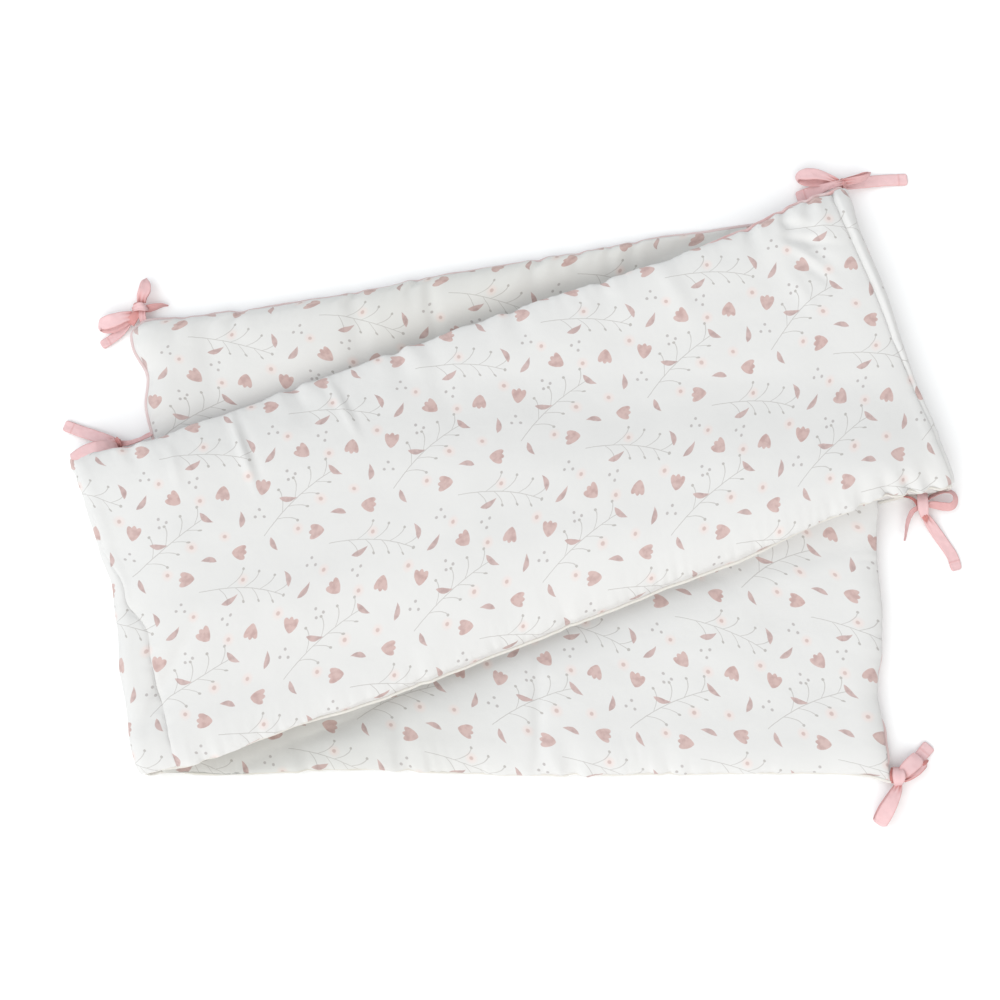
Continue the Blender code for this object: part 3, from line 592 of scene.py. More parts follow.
def hinge_valley(name, s, place, t):
    """How deep a hinge's stitching pulls the outer face in."""
    rows, before, after = HINGE_DEPTHS[name]
    away = np.abs(s - place)
    reach = MM * np.where(s < place, before, after)
    valley = (1.0 - STITCH_SHARE) * (1.0 - np.clip(away / reach, 0.0, 1.0)) ** 2
    return MM * read(rows, t) * (valley + STITCH_SHARE * np.exp(-away / STITCH_REACH))


def gathers(edge, along, length, away):
    """Depth of the gathers placed along one long edge of a section."""
    total = np.zeros(np.broadcast(along, away).shape)
    for fraction, half_width, reach, depth in GATHERS[edge]:
        aside = along - fraction * length + GATHER_LEAN * away * math.sin(40.0 * fraction)
        aside = aside / (MM * half_width * (1.0 + away / GATHER_WIDENS))
        trough = np.exp(-(aside**2)) - GATHER_RIDGES * np.exp(-((np.abs(aside) - 2.0) ** 2))
        total += MM * depth * trough * np.exp(-((away / (MM * reach)) ** 1.5))
    return total


def section_gathers(s, t):
    """Gathers of the whole strip's two long edges, as depths."""
    on_lower, on_bottom, on_top, long_top, long_lower, long_bottom = on_sections(s, t)
    total = np.zeros_like(t)
    for edge, here, along, length, across in (
        ("lower_lower", on_lower, s + FOLD_ARC + long_lower, long_lower, t),
        ("bottom_upper", on_bottom, s - long_top - FOLD_ARC, long_bottom, 1.0 - t),
        ("top_upper", on_top, s, long_top, 1.0 - t),
        ("top_lower", on_top, s, long_top, t),
    ):
        total = total + np.where(here, gathers(edge, along, length, across * STRIP_WIDTH), 0.0)
    return total


def puckers(along, away, seed, pitch, reach):
    """Short gathers that run in from a seam: along and away are distances along it and from it."""
    wander = 0.25 * noise(along / 0.03, away / 0.02, seed + 1)
    crest = 1.0 - 2.0 * np.abs(noise(along / pitch + wander, away / 0.05, seed))
    length = reach * (1.0 + 0.6 * noise(along / 0.035, 0.5, seed + 2))
    return crest * np.exp(-((away / length) ** 1.6)) * smooth(away, 0.0, SEAM_CLEAR)


def wadding(u, v, seed):
    """Soft lumps of the filling under the cotton."""
    return 0.0010 * noise(u / 0.085, v / 0.060, seed) + 0.00045 * noise(u / 0.032, v / 0.026, seed + 1)


def with_relief(s, t, outer, inner, edge_out, from_edge, from_end):
    """The two faces with lumps, puckers, gathers and hinge valleys, and with a fine wave of the seam."""
    across = (t - 0.5) * STRIP_WIDTH
    lower_edge, upper_edge = t * STRIP_WIDTH, (1.0 - t) * STRIP_WIDTH
    left_place, right_place = left_hinge(t), right_hinge(t)
    valley = hinge_valley("left", s, left_place, t) + hinge_valley("right", s, right_place, t)
    to_hinge = np.minimum(np.abs(s - left_place), np.abs(s - right_place))
    gathered = section_gathers(s, t)
    off_seam = smooth(from_edge, 0.0, SEAM_FLAT)
    groove = SEAM_GROOVE * np.exp(-(((lower_edge - SEAM_GROOVE_PLACE) / SEAM_GROOVE_REACH) ** 2))
    wave = 0.0007 * noise(s / 0.022, 0.3, 51) + 0.0006 * noise(s / 0.060, 0.7, 52)
    wave = wave * np.exp(-from_edge / SEAM_WAVE_REACH)
    shift = wave - GATHER_PULL * gathered * np.exp(-from_edge / GATHER_PULL_REACH)
    faces = []
    for face, side, seed, depth in ((outer, 1.0, 11, valley), (inner, -1.0, 31, 0.0)):
        relief = wadding(s, across, seed)
        for height, along, away, more, pitch, reach in (
            (0.00075, s, upper_edge, 2, 0.009, 0.012),
            (0.00095, s, lower_edge, 5, 0.009, 0.012),
            (0.00060, across, to_hinge, 8, 0.012, 0.010),
            (0.00070, across, from_end, 11, 0.011, 0.012),
        ):
            relief += height * puckers(along, away, seed + more, pitch, reach)
        relief = relief * off_seam * smooth(from_end, 0.0, SEAM_FLAT)
        relief = relief - depth - gathered * off_seam - groove
        face = face + side * grid_normals(face) * relief[..., None]
        face[..., :2] += edge_out * shift[..., None]
        face[..., 2] = np.maximum(face[..., 2] + WAVE_RISE * wave, 0.0)
        faces.append(face)
    return faces


def seam_bead(s, outer, inner, edge_out):
    """Rows of points round the ridge of the cover's own seam, along the lower edge."""
    middle = 0.5 * (outer[:, 0] + inner[:, 0])
    out = level_unit(edge_out[:, 0])
    top_side = unit(outer[:, 0] - inner[:, 0])
    bead = []
    for i in range(BEAD_SIDES):
        turn = math.radians(BEAD_TURN * (i / (BEAD_SIDES - 1) - 0.5))
        crimp = 1.0 + 0.10 * noise(s[:, 0] / 0.004, i * 0.4, 61)
        arm = (math.cos(turn) * out + math.sin(turn) * top_side) * (BEAD_RADIUS * crimp)[:, None]
        bead.append(middle + out * BEAD_RADIUS * BEAD_OUT + arm)
    return np.stack(bead, axis=1)


def end_faces(t_row):
    """Faces that close a piece at one end: rows of (its points, their places in the baked image)."""
    m = len(t_row)
    width, first, length = BAKE_END
    shapes = []
    for a in range(m - 1):
        low, high = first + length * t_row[a], first + length * t_row[a + 1]
        places = [(0.0, low), (0.0, high), (width, high), (width, low)]
        shapes.append(([a, a + 1, 2 * m - 2 - a, 2 * m - 1 - a], places))
    bead = [0, 2 * m - 1, *range(2 * m, 2 * m + BEAD_SIDES)]
    place, wide, high = BAKE_BEAD
    angles = [2.0 * math.pi * b / len(bead) for b in range(len(bead))]
    places = [(0.5 * width + wide * math.cos(a), place + high * math.sin(a)) for a in angles]
    shapes.append((bead, places))
    return shapes


def pad_piece(name, start, end, rounded_start, rounded_end, material):
    """A stretch of the strip as one closed padded piece, with its seams, gathers and cloth coordinates."""
    edge_steps, end_steps = shoulder_steps(EDGE_ROUND), shoulder_steps(END_ROUND)
    hinge_steps = [HINGE_STEP * i for i in range(HINGE_RINGS + 1)]
    t_row = spread(STRIP_WIDTH, edge_steps, edge_steps)
    first, last = (end_steps if rounded else hinge_steps for rounded in (rounded_start, rounded_end))
    f = spread(float(end(MIDWAY) - start(MIDWAY)), first, last)
    t = np.broadcast_to(t_row, (len(f), len(t_row)))
    s = start(t) + f[:, None] * (end(t) - start(t))
    outer, inner, edge_out, from_edge, from_end = strip(s, t)
    outer, inner = with_relief(s, t, outer, inner, edge_out, from_edge, from_end)
    rings = np.concatenate((outer, inner[:, ::-1], seam_bead(s, outer, inner, edge_out)), axis=1)
    count, around = rings.shape[:2]
    m = len(t_row)
    bead_places = FREE_CLOTH[1] + 0.002 * np.arange(BEAD_SIDES)
    cloth = np.concatenate(
        (
            np.stack((s, across_length(outer)), axis=-1),
            np.stack((-s, across_length(inner)), axis=-1)[:, ::-1],
            np.stack(np.broadcast_arrays(s[:, :1], bead_places), axis=-1),
        ),
        axis=1,
    )
    i, j, faces = closed_grid(count, around)
    # lip and bead faces take their cloth place from their first corner, so no print is smeared there
    flat_lip = (j == m - 1) | (j >= 2 * m - 1)
    cloth_corners = [grid_corners(cloth, i, j, np.where(flat_lip, j, (j + 1) % around)).reshape(-1, 2)]
    bake = flat_grid(BAKE_MARGIN + BAKE_LENGTH * f, bake_bands(m, name))
    bake_corners = [grid_corners(bake, i, j, j + 1).reshape(-1, 2)]
    faces = faces.tolist()
    for row, place, order in zip((0, count - 1), BAKE_ENDS, (-1, 1)):
        for points, places in end_faces(t_row):
            faces.append([row * around + p for p in points][::order])
            cloth_corners.append(np.full((len(points), 2), FREE_CLOTH))
            bake_corners.append(np.array(places)[::order] + (place, 0.0))

    piece = mesh_object(name, rings.reshape(-1, 3), faces, material)
    # painted shade: darker colour where the top section lies close over the cloth, read by the cotton
    # material
    if name in SHADE_PAINTED_STRETCHES:
        painted_shade = read(SHADE_PAINTED_STRETCHES[name], from_end)
        add_values(piece, "painted_shade", np.concatenate((painted_shade, painted_shade[:, ::-1], painted_shade[:, :BEAD_SIDES]), axis=1))
    add_uv(piece, "cloth", np.concatenate(cloth_corners))
    add_uv(piece, "OFBake", np.concatenate(bake_corners))
    piece.data.set_sharp_from_angle(angle=math.radians(SHARP_EDGE))
    return piece, {"outer": outer, "inner": inner, "out": edge_out}


def across_length(face):
    """Cloth coordinate across the strip: the length over the face, with 0 at the middle."""
    total = travelled(np.swapaxes(face, 0, 1)).T
    middle = face.shape[1] // 2
    return total - total[:, middle : middle + 1]


def bake_bands(m, name):
    """Where each station round the pad lies across the baked image; the visible face gets the most."""
    outer_share, inner_share = (0.58, 0.38) if name == "cover_top" else (0.38, 0.58)
    outer = BAKE_MARGIN + outer_share * np.linspace(0.0, 1.0, m)
    inner = outer[-1] + BAKE_GAP + inner_share * np.linspace(0.0, 1.0, m)
    room = 1.0 - BAKE_MARGIN - inner[-1]
    rest = inner[-1] + room * np.arange(1, BEAD_SIDES + 2) / (BEAD_SIDES + 1)
    return np.concatenate((outer, inner, rest))


# Meshes ----------------------------------------------------------


def grid_corners(values, i, j, k):
    """Values of a grid at the four corners of its faces, where k is the column after j."""
    return np.stack((values[i, j], values[i, k], values[i + 1, k], values[i + 1, j]), axis=1)


def closed_grid(rows, columns):
    """Row, column and points of each face of a grid of points (along, around) that closes round."""
    i, j = (x.ravel() for x in np.meshgrid(np.arange(rows - 1), np.arange(columns), indexing="ij"))
    index = np.arange(rows * columns).reshape(rows, columns)
    return i, j, grid_corners(index, i, j, (j + 1) % columns)


def add_object(name, data):
    item = bpy.data.objects.new(name, data)
    bpy.context.scene.collection.objects.link(item)
    return item


def mesh_object(name, points, faces, material):
    data = bpy.data.meshes.new(name)
    data.from_pydata(points.tolist(), [], faces)
    data.validate()
    data.shade_smooth()
    data.materials.append(material)
    return add_object(name, data)


def add_values(piece, name, values):
    """A number from 0 to 1 at each point, for the material to read."""
    layer = piece.data.attributes.new(name, "FLOAT", "POINT")
    layer.data.foreach_set("value", np.clip(values, 0.0, 1.0).astype(np.float32).ravel())


def add_uv(piece, name, corners):
    layer = piece.data.uv_layers.new(name=name)
    layer.data.foreach_set("uv", corners.astype(np.float32).ravel())


class Parts:
    """Gathers points, faces, cloth coordinates and the painted shade of the folds of one joined mesh."""

    def __init__(self):
        self.points, self.faces, self.corners, self.painted_shades = [], [], [], []

    def count(self):
        return sum(len(p) for p in self.points)

    def grid(self, points, cloth):
        """A grid of points (along, around) that closes round; cloth has one more column than points."""
        start = self.count()
        i, j, faces = closed_grid(*points.shape[:2])
        self.points.append(points.reshape(-1, 3))
        self.faces += (start + faces).tolist()
        self.corners.append(grid_corners(cloth, i, j, j + 1).reshape(-1, 2))
        return start

    def cap(self, indices):
        self.faces.append(list(indices))
        self.corners.append(np.zeros((len(indices), 2)))

    def object(self, name, material):
        piece = mesh_object(name, np.concatenate(self.points), self.faces, material)
        add_uv(piece, "cloth", np.concatenate(self.corners))
        # painted shade of the tape's folds and knots, read by the tape material as its depth
        if self.painted_shades:
            add_values(piece, "depth", np.concatenate(self.painted_shades))
        return piece


# Node helpers ----------------------------------------------------


class Nodes:
    """Short calls that add nodes to a tree and return their output sockets."""

    def __init__(self, tree):
        self.tree = tree

    def add(self, kind, **settings):
        node = self.tree.nodes.new(kind)
        for key, value in settings.items():
            setattr(node, key, value)
        return node

    def plug(self, node, index, value):
        if isinstance(value, bpy.types.NodeSocket):
            self.tree.links.new(value, node.inputs[index])
        elif value is not None:
            node.inputs[index].default_value = value

    def math(self, operation, *values, clamp=False):
        node = self.add("ShaderNodeMath", operation=operation, use_clamp=clamp)
        for i, value in enumerate(values):
            self.plug(node, i, value)
        return node.outputs[0]

    def vector(self, operation, *values, out=0):
        node = self.add("ShaderNodeVectorMath", operation=operation)
        for i, value in enumerate(values):
            self.plug(node, i, value)
        return node.outputs[out]

    def split(self, value):
        node = self.add("ShaderNodeSeparateXYZ")
        self.plug(node, 0, value)
        return node.outputs

    def join(self, x, y):
        node = self.add("ShaderNodeCombineXYZ")
        self.plug(node, 0, x)
        self.plug(node, 1, y)
        return node.outputs[0]

    def ramp(self, value, low, high, to_low=0.0, to_high=1.0, soft=False):
        node = self.add("ShaderNodeMapRange", interpolation_type="SMOOTHSTEP" if soft else "LINEAR")
        for i, x in enumerate((value, low, high, to_low, to_high)):
            self.plug(node, i, x)
        return node.outputs[0]

    def mix(self, factor, a, b, blend="MIX"):
        node = self.add("ShaderNodeMix", data_type="RGBA", blend_type=blend)
        self.plug(node, 0, factor)
        for index, value in ((6, a), (7, b)):
            self.plug(node, index, value if isinstance(value, bpy.types.NodeSocket) else (*value, 1.0))
        return node.outputs[2]

    def noise(self, place, scale, detail=2.0, roughness=0.5, out=0):
        node = self.add("ShaderNodeTexNoise")
        self.plug(node, "Vector", place)
        node.inputs["Scale"].default_value = scale
        node.inputs["Detail"].default_value = detail
        node.inputs["Roughness"].default_value = roughness
        return node.outputs[out]


def shape_group(name, draw):
    """A node group that turns a place in a motif's own plane into a mask."""
    group = bpy.data.node_groups.new(name, "ShaderNodeTree")
    group.interface.new_socket("Place", in_out="INPUT", socket_type="NodeSocketVector")
    group.interface.new_socket("Mask", in_out="OUTPUT", socket_type="NodeSocketFloat")
    n = Nodes(group)
    start = n.add("NodeGroupInput")
    end = n.add("NodeGroupOutput")
    group.links.new(draw(n, start.outputs[0]), end.inputs[0])
    return group


# The print -------------------------------------------------------

TILE = (0.1195, 0.1250)

# Motifs in one repeat: (x, y, heading in degrees, size), with places and sizes in millimetres
BLOOMS = (
    (18, 64, -25, 8.2), (50, 10, 78, 8.2), (99, 16, -108, 7.9), (61, 82, 35, 8.2), (103, 71, 155, 7.9),
)
LEAVES = (
    (34, 88, 40, 8), (82, 55, -52, 7.8), (20, 104, 98, 7.6), (86, 103, 12, 8), (36, 46, -18, 7.8),
    (112, 43, 68, 7.6), (72, 20, 158, 7.4), (10, 12, -70, 7),
)
SPRIGS = ((4, 22, 24, 84), (60, 121, -22, 80))
HALOS = (
    (82, 72, 0, 5.8), (62, 36, 0, 6.2), (34, 18, 0, 5.6), (9, 77.5, 0, 6), (100, 117, 0, 5.6),
    (52, 100, 0, 5.4), (92, 34, 0, 5.6),
)
DOTS = ((44, 66, 20, 4.4), (82, 89, 65, 4.4), (8, 42, 100, 4.4), (42, 110, -15, 4.4))

CLOTH_COLOUR = (0.722, 0.714, 0.700)
SEAM_COLOUR = (0.722, 0.700, 0.655)
ROSE = (0.590, 0.424, 0.396)
ROSE_DARK = (0.496, 0.336, 0.314)
MAUVE = (0.542, 0.388, 0.368)
MAUVE_DARK = (0.436, 0.306, 0.292)
STEM = (0.368, 0.342, 0.318)
BUD = (0.342, 0.302, 0.296)
HEART = (0.500, 0.350, 0.322)
BLUSH = (0.780, 0.640, 0.602)
PAINTED_SHADE_KEEPS = (0.880, 0.880, 0.852)  # share of its colour that the cloth keeps where its shade is painted most
PRINT_RAGGED = 0.0007  # how far the print's outlines wander
WEAVE_PITCH = 0.00050
WEAVE_HEIGHT = 0.00005
CRINKLE_HEIGHT = 0.00045


def oval(n, x, y, half_width, half_height):
    """How far a place lies out from the middle of an oval, with 1 on its edge."""
    flat = n.vector("DIVIDE", n.join(x, y), (half_width, half_height, 1.0))
    return n.vector("LENGTH", flat, out=1)


def draw_bloom(n, place):
    """A cup of three petals: a round middle one between two that lean outward."""
    x, y, _ = n.split(place)
    side = n.math("ABSOLUTE", n.math("MULTIPLY", x, 0.86))
    middle = oval(n, x, n.math("SUBTRACT", y, 0.05), 0.34, 0.80)
    lean_x = n.math("SUBTRACT", n.math("MULTIPLY_ADD", y, -0.34, side), 0.24)
    outer = oval(n, lean_x, n.math("ADD", y, 0.06), 0.36, 0.78)
    return n.ramp(n.math("MINIMUM", middle, outer), 1.05, 0.97)


def draw_leaf(n, place):
    """A pointed leaf with a slightly bent middle."""
    x, y, _ = n.split(place)
    square = n.math("MULTIPLY", x, x)
    bent = n.math("ABSOLUTE", n.math("MULTIPLY_ADD", square, -0.22, y))
    taper = n.math("MAXIMUM", n.math("MULTIPLY_ADD", x, -0.12, 0.31), 0.10)
    edge = n.math("MULTIPLY", n.math("SUBTRACT", 1.0, square), taper)
    return n.ramp(n.math("SUBTRACT", edge, bent), -0.02, 0.03)


SPRIG_PITCH = 0.19  # between two twigs on one side, as a share of the sprig's length
SPRIG_FIRST = 0.22
SPRIG_LAST = 0.80
TWIG = 0.17
TWIG_SLANT = 1.55
STEM_HALF = 0.0043
BUD_HALF = 0.0150


def draw_sprig(n, place):
    """A bent stem with twigs on both sides in turn, each with a bud at its end."""
    x, y, _ = n.split(place)
    arch = n.math("MULTIPLY", n.math("MULTIPLY", x, n.math("SUBTRACT", 1.0, x)), 0.22)
    y = n.math("SUBTRACT", y, arch)
    away = n.math("ABSOLUTE", y)
    inside_stem = n.math("MULTIPLY", n.math("GREATER_THAN", x, 0.0), n.math("LESS_THAN", x, 1.0))
    stem = n.math("MULTIPLY", n.ramp(away, STEM_HALF * 1.3, STEM_HALF * 0.7), inside_stem)
    # where the twig through this place leaves the stem
    side = n.math("MULTIPLY", n.math("GREATER_THAN", y, 0.0), 0.5 * SPRIG_PITCH)
    curve = n.math("MULTIPLY", n.math("MULTIPLY", away, away), 4.2)
    root = n.math("SUBTRACT", n.math("ADD", x, curve), n.math("MULTIPLY", away, TWIG_SLANT))
    root = n.math("SUBTRACT", n.math("SUBTRACT", root, side), SPRIG_FIRST)
    local = n.math("WRAP", root, 0.5 * SPRIG_PITCH, -0.5 * SPRIG_PITCH)
    index = n.math("SUBTRACT", root, local)
    uneven = n.math("SINE", n.math("MULTIPLY_ADD", index, 31.0, n.math("MULTIPLY", side, 23.0)))
    length = n.math("MULTIPLY_ADD", uneven, 0.035, n.math("MULTIPLY_ADD", index, -0.09, TWIG))
    allowed = n.math(
        "MULTIPLY",
        n.math("GREATER_THAN", index, -0.02),
        n.math("LESS_THAN", index, SPRIG_LAST - SPRIG_FIRST),
    )
    short = n.math("LESS_THAN", away, length)
    twig = n.ramp(n.math("ABSOLUTE", local), STEM_HALF * 1.7, STEM_HALF * 0.9)
    twig = n.math("MULTIPLY", n.math("MULTIPLY", twig, short), allowed)
    rise = n.math("SUBTRACT", away, length)
    reach = n.math("SQRT", n.math("ADD", n.math("MULTIPLY", rise, rise), n.math("MULTIPLY", local, local)))
    bud = n.math("MULTIPLY", n.ramp(reach, BUD_HALF * 1.15, BUD_HALF * 0.85), allowed)
    tip = n.vector("DISTANCE", place, (1.0, 0.0, 0.0), out=1)
    tip = n.ramp(tip, BUD_HALF * 1.3, BUD_HALF)
    lines = n.math("MULTIPLY", n.math("MAXIMUM", stem, twig), 0.72)
    return n.math("MAXIMUM", n.math("MAXIMUM", lines, bud), tip)


def draw_halo(n, place):
    reach = n.vector("LENGTH", place, out=1)
    return n.ramp(reach, 1.20, 0.30, soft=True)


def draw_heart(n, place):
    reach = n.vector("LENGTH", place, out=1)
    return n.ramp(reach, 0.40, 0.20, soft=True)


def draw_dots(n, place):
    """Three small dots at the corners of a triangle."""
    nearest = None
    for angle in (90.0, 210.0, 330.0):
        dot = (math.cos(math.radians(angle)), math.sin(math.radians(angle)), 0.0)
        reach = n.vector("DISTANCE", place, dot, out=1)
        nearest = reach if nearest is None else n.math("MINIMUM", nearest, reach)
    return n.ramp(nearest, 0.36, 0.24)


def motif_masks(n, cloth, rows, group):
    """The joint mask of all copies of one motif."""
    half = (0.5 * TILE[0], 0.5 * TILE[1], 1.0)
    total = None
    for x, y, heading, size in rows:
        turn, size = math.radians(heading), MM * size
        moved = n.vector("SUBTRACT", cloth, (MM * x, MM * y, 0.0))
        if group.name == "sprig":  # a sprig starts at its place and runs most of a repeat's length
            back = (-0.5 * size * math.cos(turn), -0.5 * size * math.sin(turn), 0.0)
            moved = n.vector("ADD", moved, back)
        wrapped = n.vector("WRAP", moved, half, (-half[0], -half[1], -1.0))
        mapping = n.add("ShaderNodeMapping", vector_type="TEXTURE")
        n.plug(mapping, 0, wrapped)
        mapping.inputs["Rotation"].default_value = (0.0, 0.0, turn)
        mapping.inputs["Scale"].default_value = (size, size, size)
        place = mapping.outputs[0]
        if group.name == "sprig":
            place = n.vector("ADD", place, (0.5, 0.0, 0.0))
        node = n.add("ShaderNodeGroup", node_tree=group)
        n.plug(node, 0, place)
        total = node.outputs[0] if total is None else n.math("MAXIMUM", total, node.outputs[0])
    return total


def principled(name, roughness, sheen, sheen_roughness, specular):
    """A matte material; returns it, its node calls and its shader."""
    material = bpy.data.materials.new(name)
    material.use_nodes = True
    shader = material.node_tree.nodes["Principled BSDF"]
    shader.inputs["Roughness"].default_value = roughness
    shader.inputs["Sheen Weight"].default_value = sheen
    shader.inputs["Sheen Roughness"].default_value = sheen_roughness
    shader.inputs["Specular IOR Level"].default_value = specular
    return material, Nodes(material.node_tree), shader


def cotton_material():
    """White cotton with a small scattered floral print and a plain weave."""
    material, n, shader = principled("printed_cotton", 0.86, 0.18, 0.45, 0.25)
    uv = n.add("ShaderNodeUVMap", uv_map="cloth").outputs[0]
    soft = n.vector("SUBTRACT", n.noise(uv, 260.0, 2.0, out=1), (0.5, 0.5, 0.5))
    ragged = n.vector("MULTIPLY_ADD", soft, (PRINT_RAGGED, PRINT_RAGGED, 0.0), uv)
    shades = n.noise(uv, 9.0, 3.0)
    colour = n.mix(n.ramp(shades, 0.3, 0.7), CLOTH_COLOUR, tuple(c * 0.975 for c in CLOTH_COLOUR))
    printed = n.math("GREATER_THAN", n.split(uv)[1], 0.5 * FREE_CLOTH[1])
    colour = n.mix(printed, SEAM_COLOUR, colour)
    ink = n.ramp(n.noise(uv, 55.0, 3.0), 0.25, 0.75, 0.86, 1.0)
    amount = n.math("MULTIPLY", printed, ink)
    washes = n.ramp(n.noise(uv, 170.0, 2.0), 0.44, 0.64)
    for name, draw, rows, tint, strength in (
        ("halo", draw_halo, HALOS, BLUSH, 0.60),
        ("sprig", draw_sprig, SPRIGS, STEM, 0.74),
        ("bloom", draw_bloom, BLOOMS, n.mix(washes, ROSE, ROSE_DARK), 1.0),
        ("leaf", draw_leaf, LEAVES, n.mix(washes, MAUVE, MAUVE_DARK), 0.95),
        ("heart", draw_heart, HALOS, HEART, 0.66),
        ("dots", draw_dots, DOTS, BUD, 0.66),
    ):
        mask = motif_masks(n, ragged, rows, shape_group(name, draw))
        factor = n.math("MULTIPLY", n.math("MULTIPLY", mask, amount), strength)
        colour = n.mix(factor, colour, tint)
    # painted shade where the top section lies close over the cloth
    painted_shade = n.add("ShaderNodeAttribute", attribute_name="painted_shade").outputs["Fac"]
    n.plug(shader, "Base Color", n.mix(painted_shade, colour, PAINTED_SHADE_KEEPS, "MULTIPLY"))
    weave = n.math("MULTIPLY", woven(n, uv, WEAVE_PITCH), WEAVE_HEIGHT)
    crinkle = n.math("MULTIPLY", n.noise(uv, 70.0, 4.0, 0.55), CRINKLE_HEIGHT)
    n.plug(shader, "Normal", bump(n, n.math("ADD", weave, crinkle)))
    return material


def woven(n, uv, pitch):
    """Height of a plain weave, from 0 to 1."""
    x, y, _ = n.split(uv)
    warp, weft = (n.math("SINE", n.math("MULTIPLY", axis, 2.0 * math.pi / pitch)) for axis in (x, y))
    return n.math("MULTIPLY_ADD", n.math("MULTIPLY", warp, weft), 0.5, 0.5)


def bump(n, height):
    """The shader's normal, bent by a height in metres."""
    node = n.add("ShaderNodeBump")
    node.inputs["Strength"].default_value = 1.0
    node.inputs["Distance"].default_value = 1.0
    n.plug(node, "Height", height)
    return node.outputs[0]


TAPE_COLOUR = (0.810, 0.562, 0.570)
TAPE_UNEVEN = (0.96, 0.90, 0.90)  # what the dye keeps of it at its strongest
TAPE_SELVEDGE = (0.740, 0.410, 0.400)
TAPE_PAINTED_SHADE = (0.600, 0.225, 0.205)  # painted shade where it lies in folds, in knots and on its back face
PIPING_COLOUR = (0.680, 0.425, 0.415)
PIPING_PALE = (0.795, 0.645, 0.635)
PIPING_PALE_GREY = (0.715, 0.600, 0.595)  # paler and greyer along the bottom section
PIPING_GREY_FROM = 1.80  # metres along the piping
PIPING_PALE_TO = 0.26  # the lower section's free end, paler too
SELVEDGE = 0.0010
RIB_HEIGHT = 0.00004
CRUMPLE_HEIGHT = 0.00035


def woven_band(name, pitch):
    """A matte material with diagonal ribs; returns it, its node calls, its shader and cloth coordinates."""
    material, n, shader = principled(name, 0.75, 0.30, 0.40, 0.30)
    uv = n.add("ShaderNodeUVMap", uv_map="cloth").outputs[0]
    x, y, _ = n.split(uv)
    diagonal = n.math("SINE", n.math("MULTIPLY", n.math("ADD", x, y), 2.0 * math.pi / pitch))
    crumple = n.math("MULTIPLY", n.noise(uv, 260.0, 3.0), CRUMPLE_HEIGHT)
    n.plug(shader, "Normal", bump(n, n.math("MULTIPLY_ADD", diagonal, RIB_HEIGHT, crumple)))
    return material, n, shader, uv


def tape_material():
    """Pink twill tape: uneven dye, a stronger pink along its selvedges, and painted shade deep in its folds,
    in its knots and on its back face.
    """
    material, n, shader, uv = woven_band("tape", 0.0009)
    shades = n.ramp(n.noise(uv, 120.0, 3.0), 0.25, 0.75)
    colour = n.mix(shades, TAPE_COLOUR, tuple(c * k for c, k in zip(TAPE_COLOUR, TAPE_UNEVEN)))
    from_middle = n.math("ABSOLUTE", n.split(uv)[1])
    half = 0.5 * TAPE_WIDTH
    rim = n.ramp(from_middle, half - 1.6 * SELVEDGE, half - 0.3 * SELVEDGE, 0.0, 0.45)
    colour = n.mix(rim, colour, TAPE_SELVEDGE)
    # painted shade, read from the tape's depth attribute
    depth = n.add("ShaderNodeAttribute", attribute_name="depth").outputs["Fac"]
    n.plug(shader, "Base Color", n.mix(depth, colour, TAPE_PAINTED_SHADE))
    return material


def piping_material():
    """Dusty pink piping with pale and strong stretches, paler and greyer along the bottom section."""
    material, n, shader, uv = woven_band("piping", 0.0006)
    shades = n.ramp(n.noise(uv, 70.0, 3.0), 0.42, 0.66)
    colour = n.mix(shades, PIPING_COLOUR, PIPING_PALE)
    along = n.split(uv)[0]
    first = n.ramp(along, PIPING_PALE_TO, PIPING_PALE_TO + 0.03, 0.70, 0.0)
    colour = n.mix(first, colour, PIPING_PALE)
    grey_stretch = n.ramp(along, PIPING_GREY_FROM, PIPING_GREY_FROM + 0.06, 0.0, 0.75)
    n.plug(shader, "Base Color", n.mix(grey_stretch, colour, PIPING_PALE_GREY))
    return material


# Piping ----------------------------------------------------------


def tube(name, route, radius, sides, material):
    """A closed tube along a route, with cloth coordinates along and round it."""
    tangent = unit(np.gradient(route, axis=0))
    side = unit(np.cross(tangent, UP))
    lift = np.cross(side, tangent)
    place = travelled(route)
    angles = 2.0 * math.pi * np.arange(sides)[:, None] / sides
    swell = 1.0 + 0.07 * noise(place[:, None] / 0.006, np.cos(angles.T) * 1.3, 71)
    arms = side[:, None] * np.cos(angles) + lift[:, None] * np.sin(angles)
    girth = 2.0 * math.pi * radius / sides
    parts = Parts()
    rings = route[:, None] + arms * (radius * swell)[..., None]
    parts.grid(rings, flat_grid(place, girth * np.arange(sides + 1)))
    parts.cap(range(sides)[::-1])
    parts.cap(range(parts.count() - sides, parts.count()))
    return parts.object(name, material)


def evenly(route, step):
    """The route with a point at every step of its length."""
    lengths = travelled(route)
    places = np.linspace(0.0, lengths[-1], int(lengths[-1] / step) + 1)
    return np.stack([np.interp(places, lengths, route[:, a]) for a in range(3)], axis=1)


def softened(route, rounds):
    """Takes the corners off a route and leaves its ends."""
    for _ in range(rounds):
        route[1:-1] = 0.25 * route[:-2] + 0.5 * route[1:-1] + 0.25 * route[2:]
    return route


def seam_middle(part, row, column):
    return 0.5 * (part["outer"][row, column] + part["inner"][row, column])


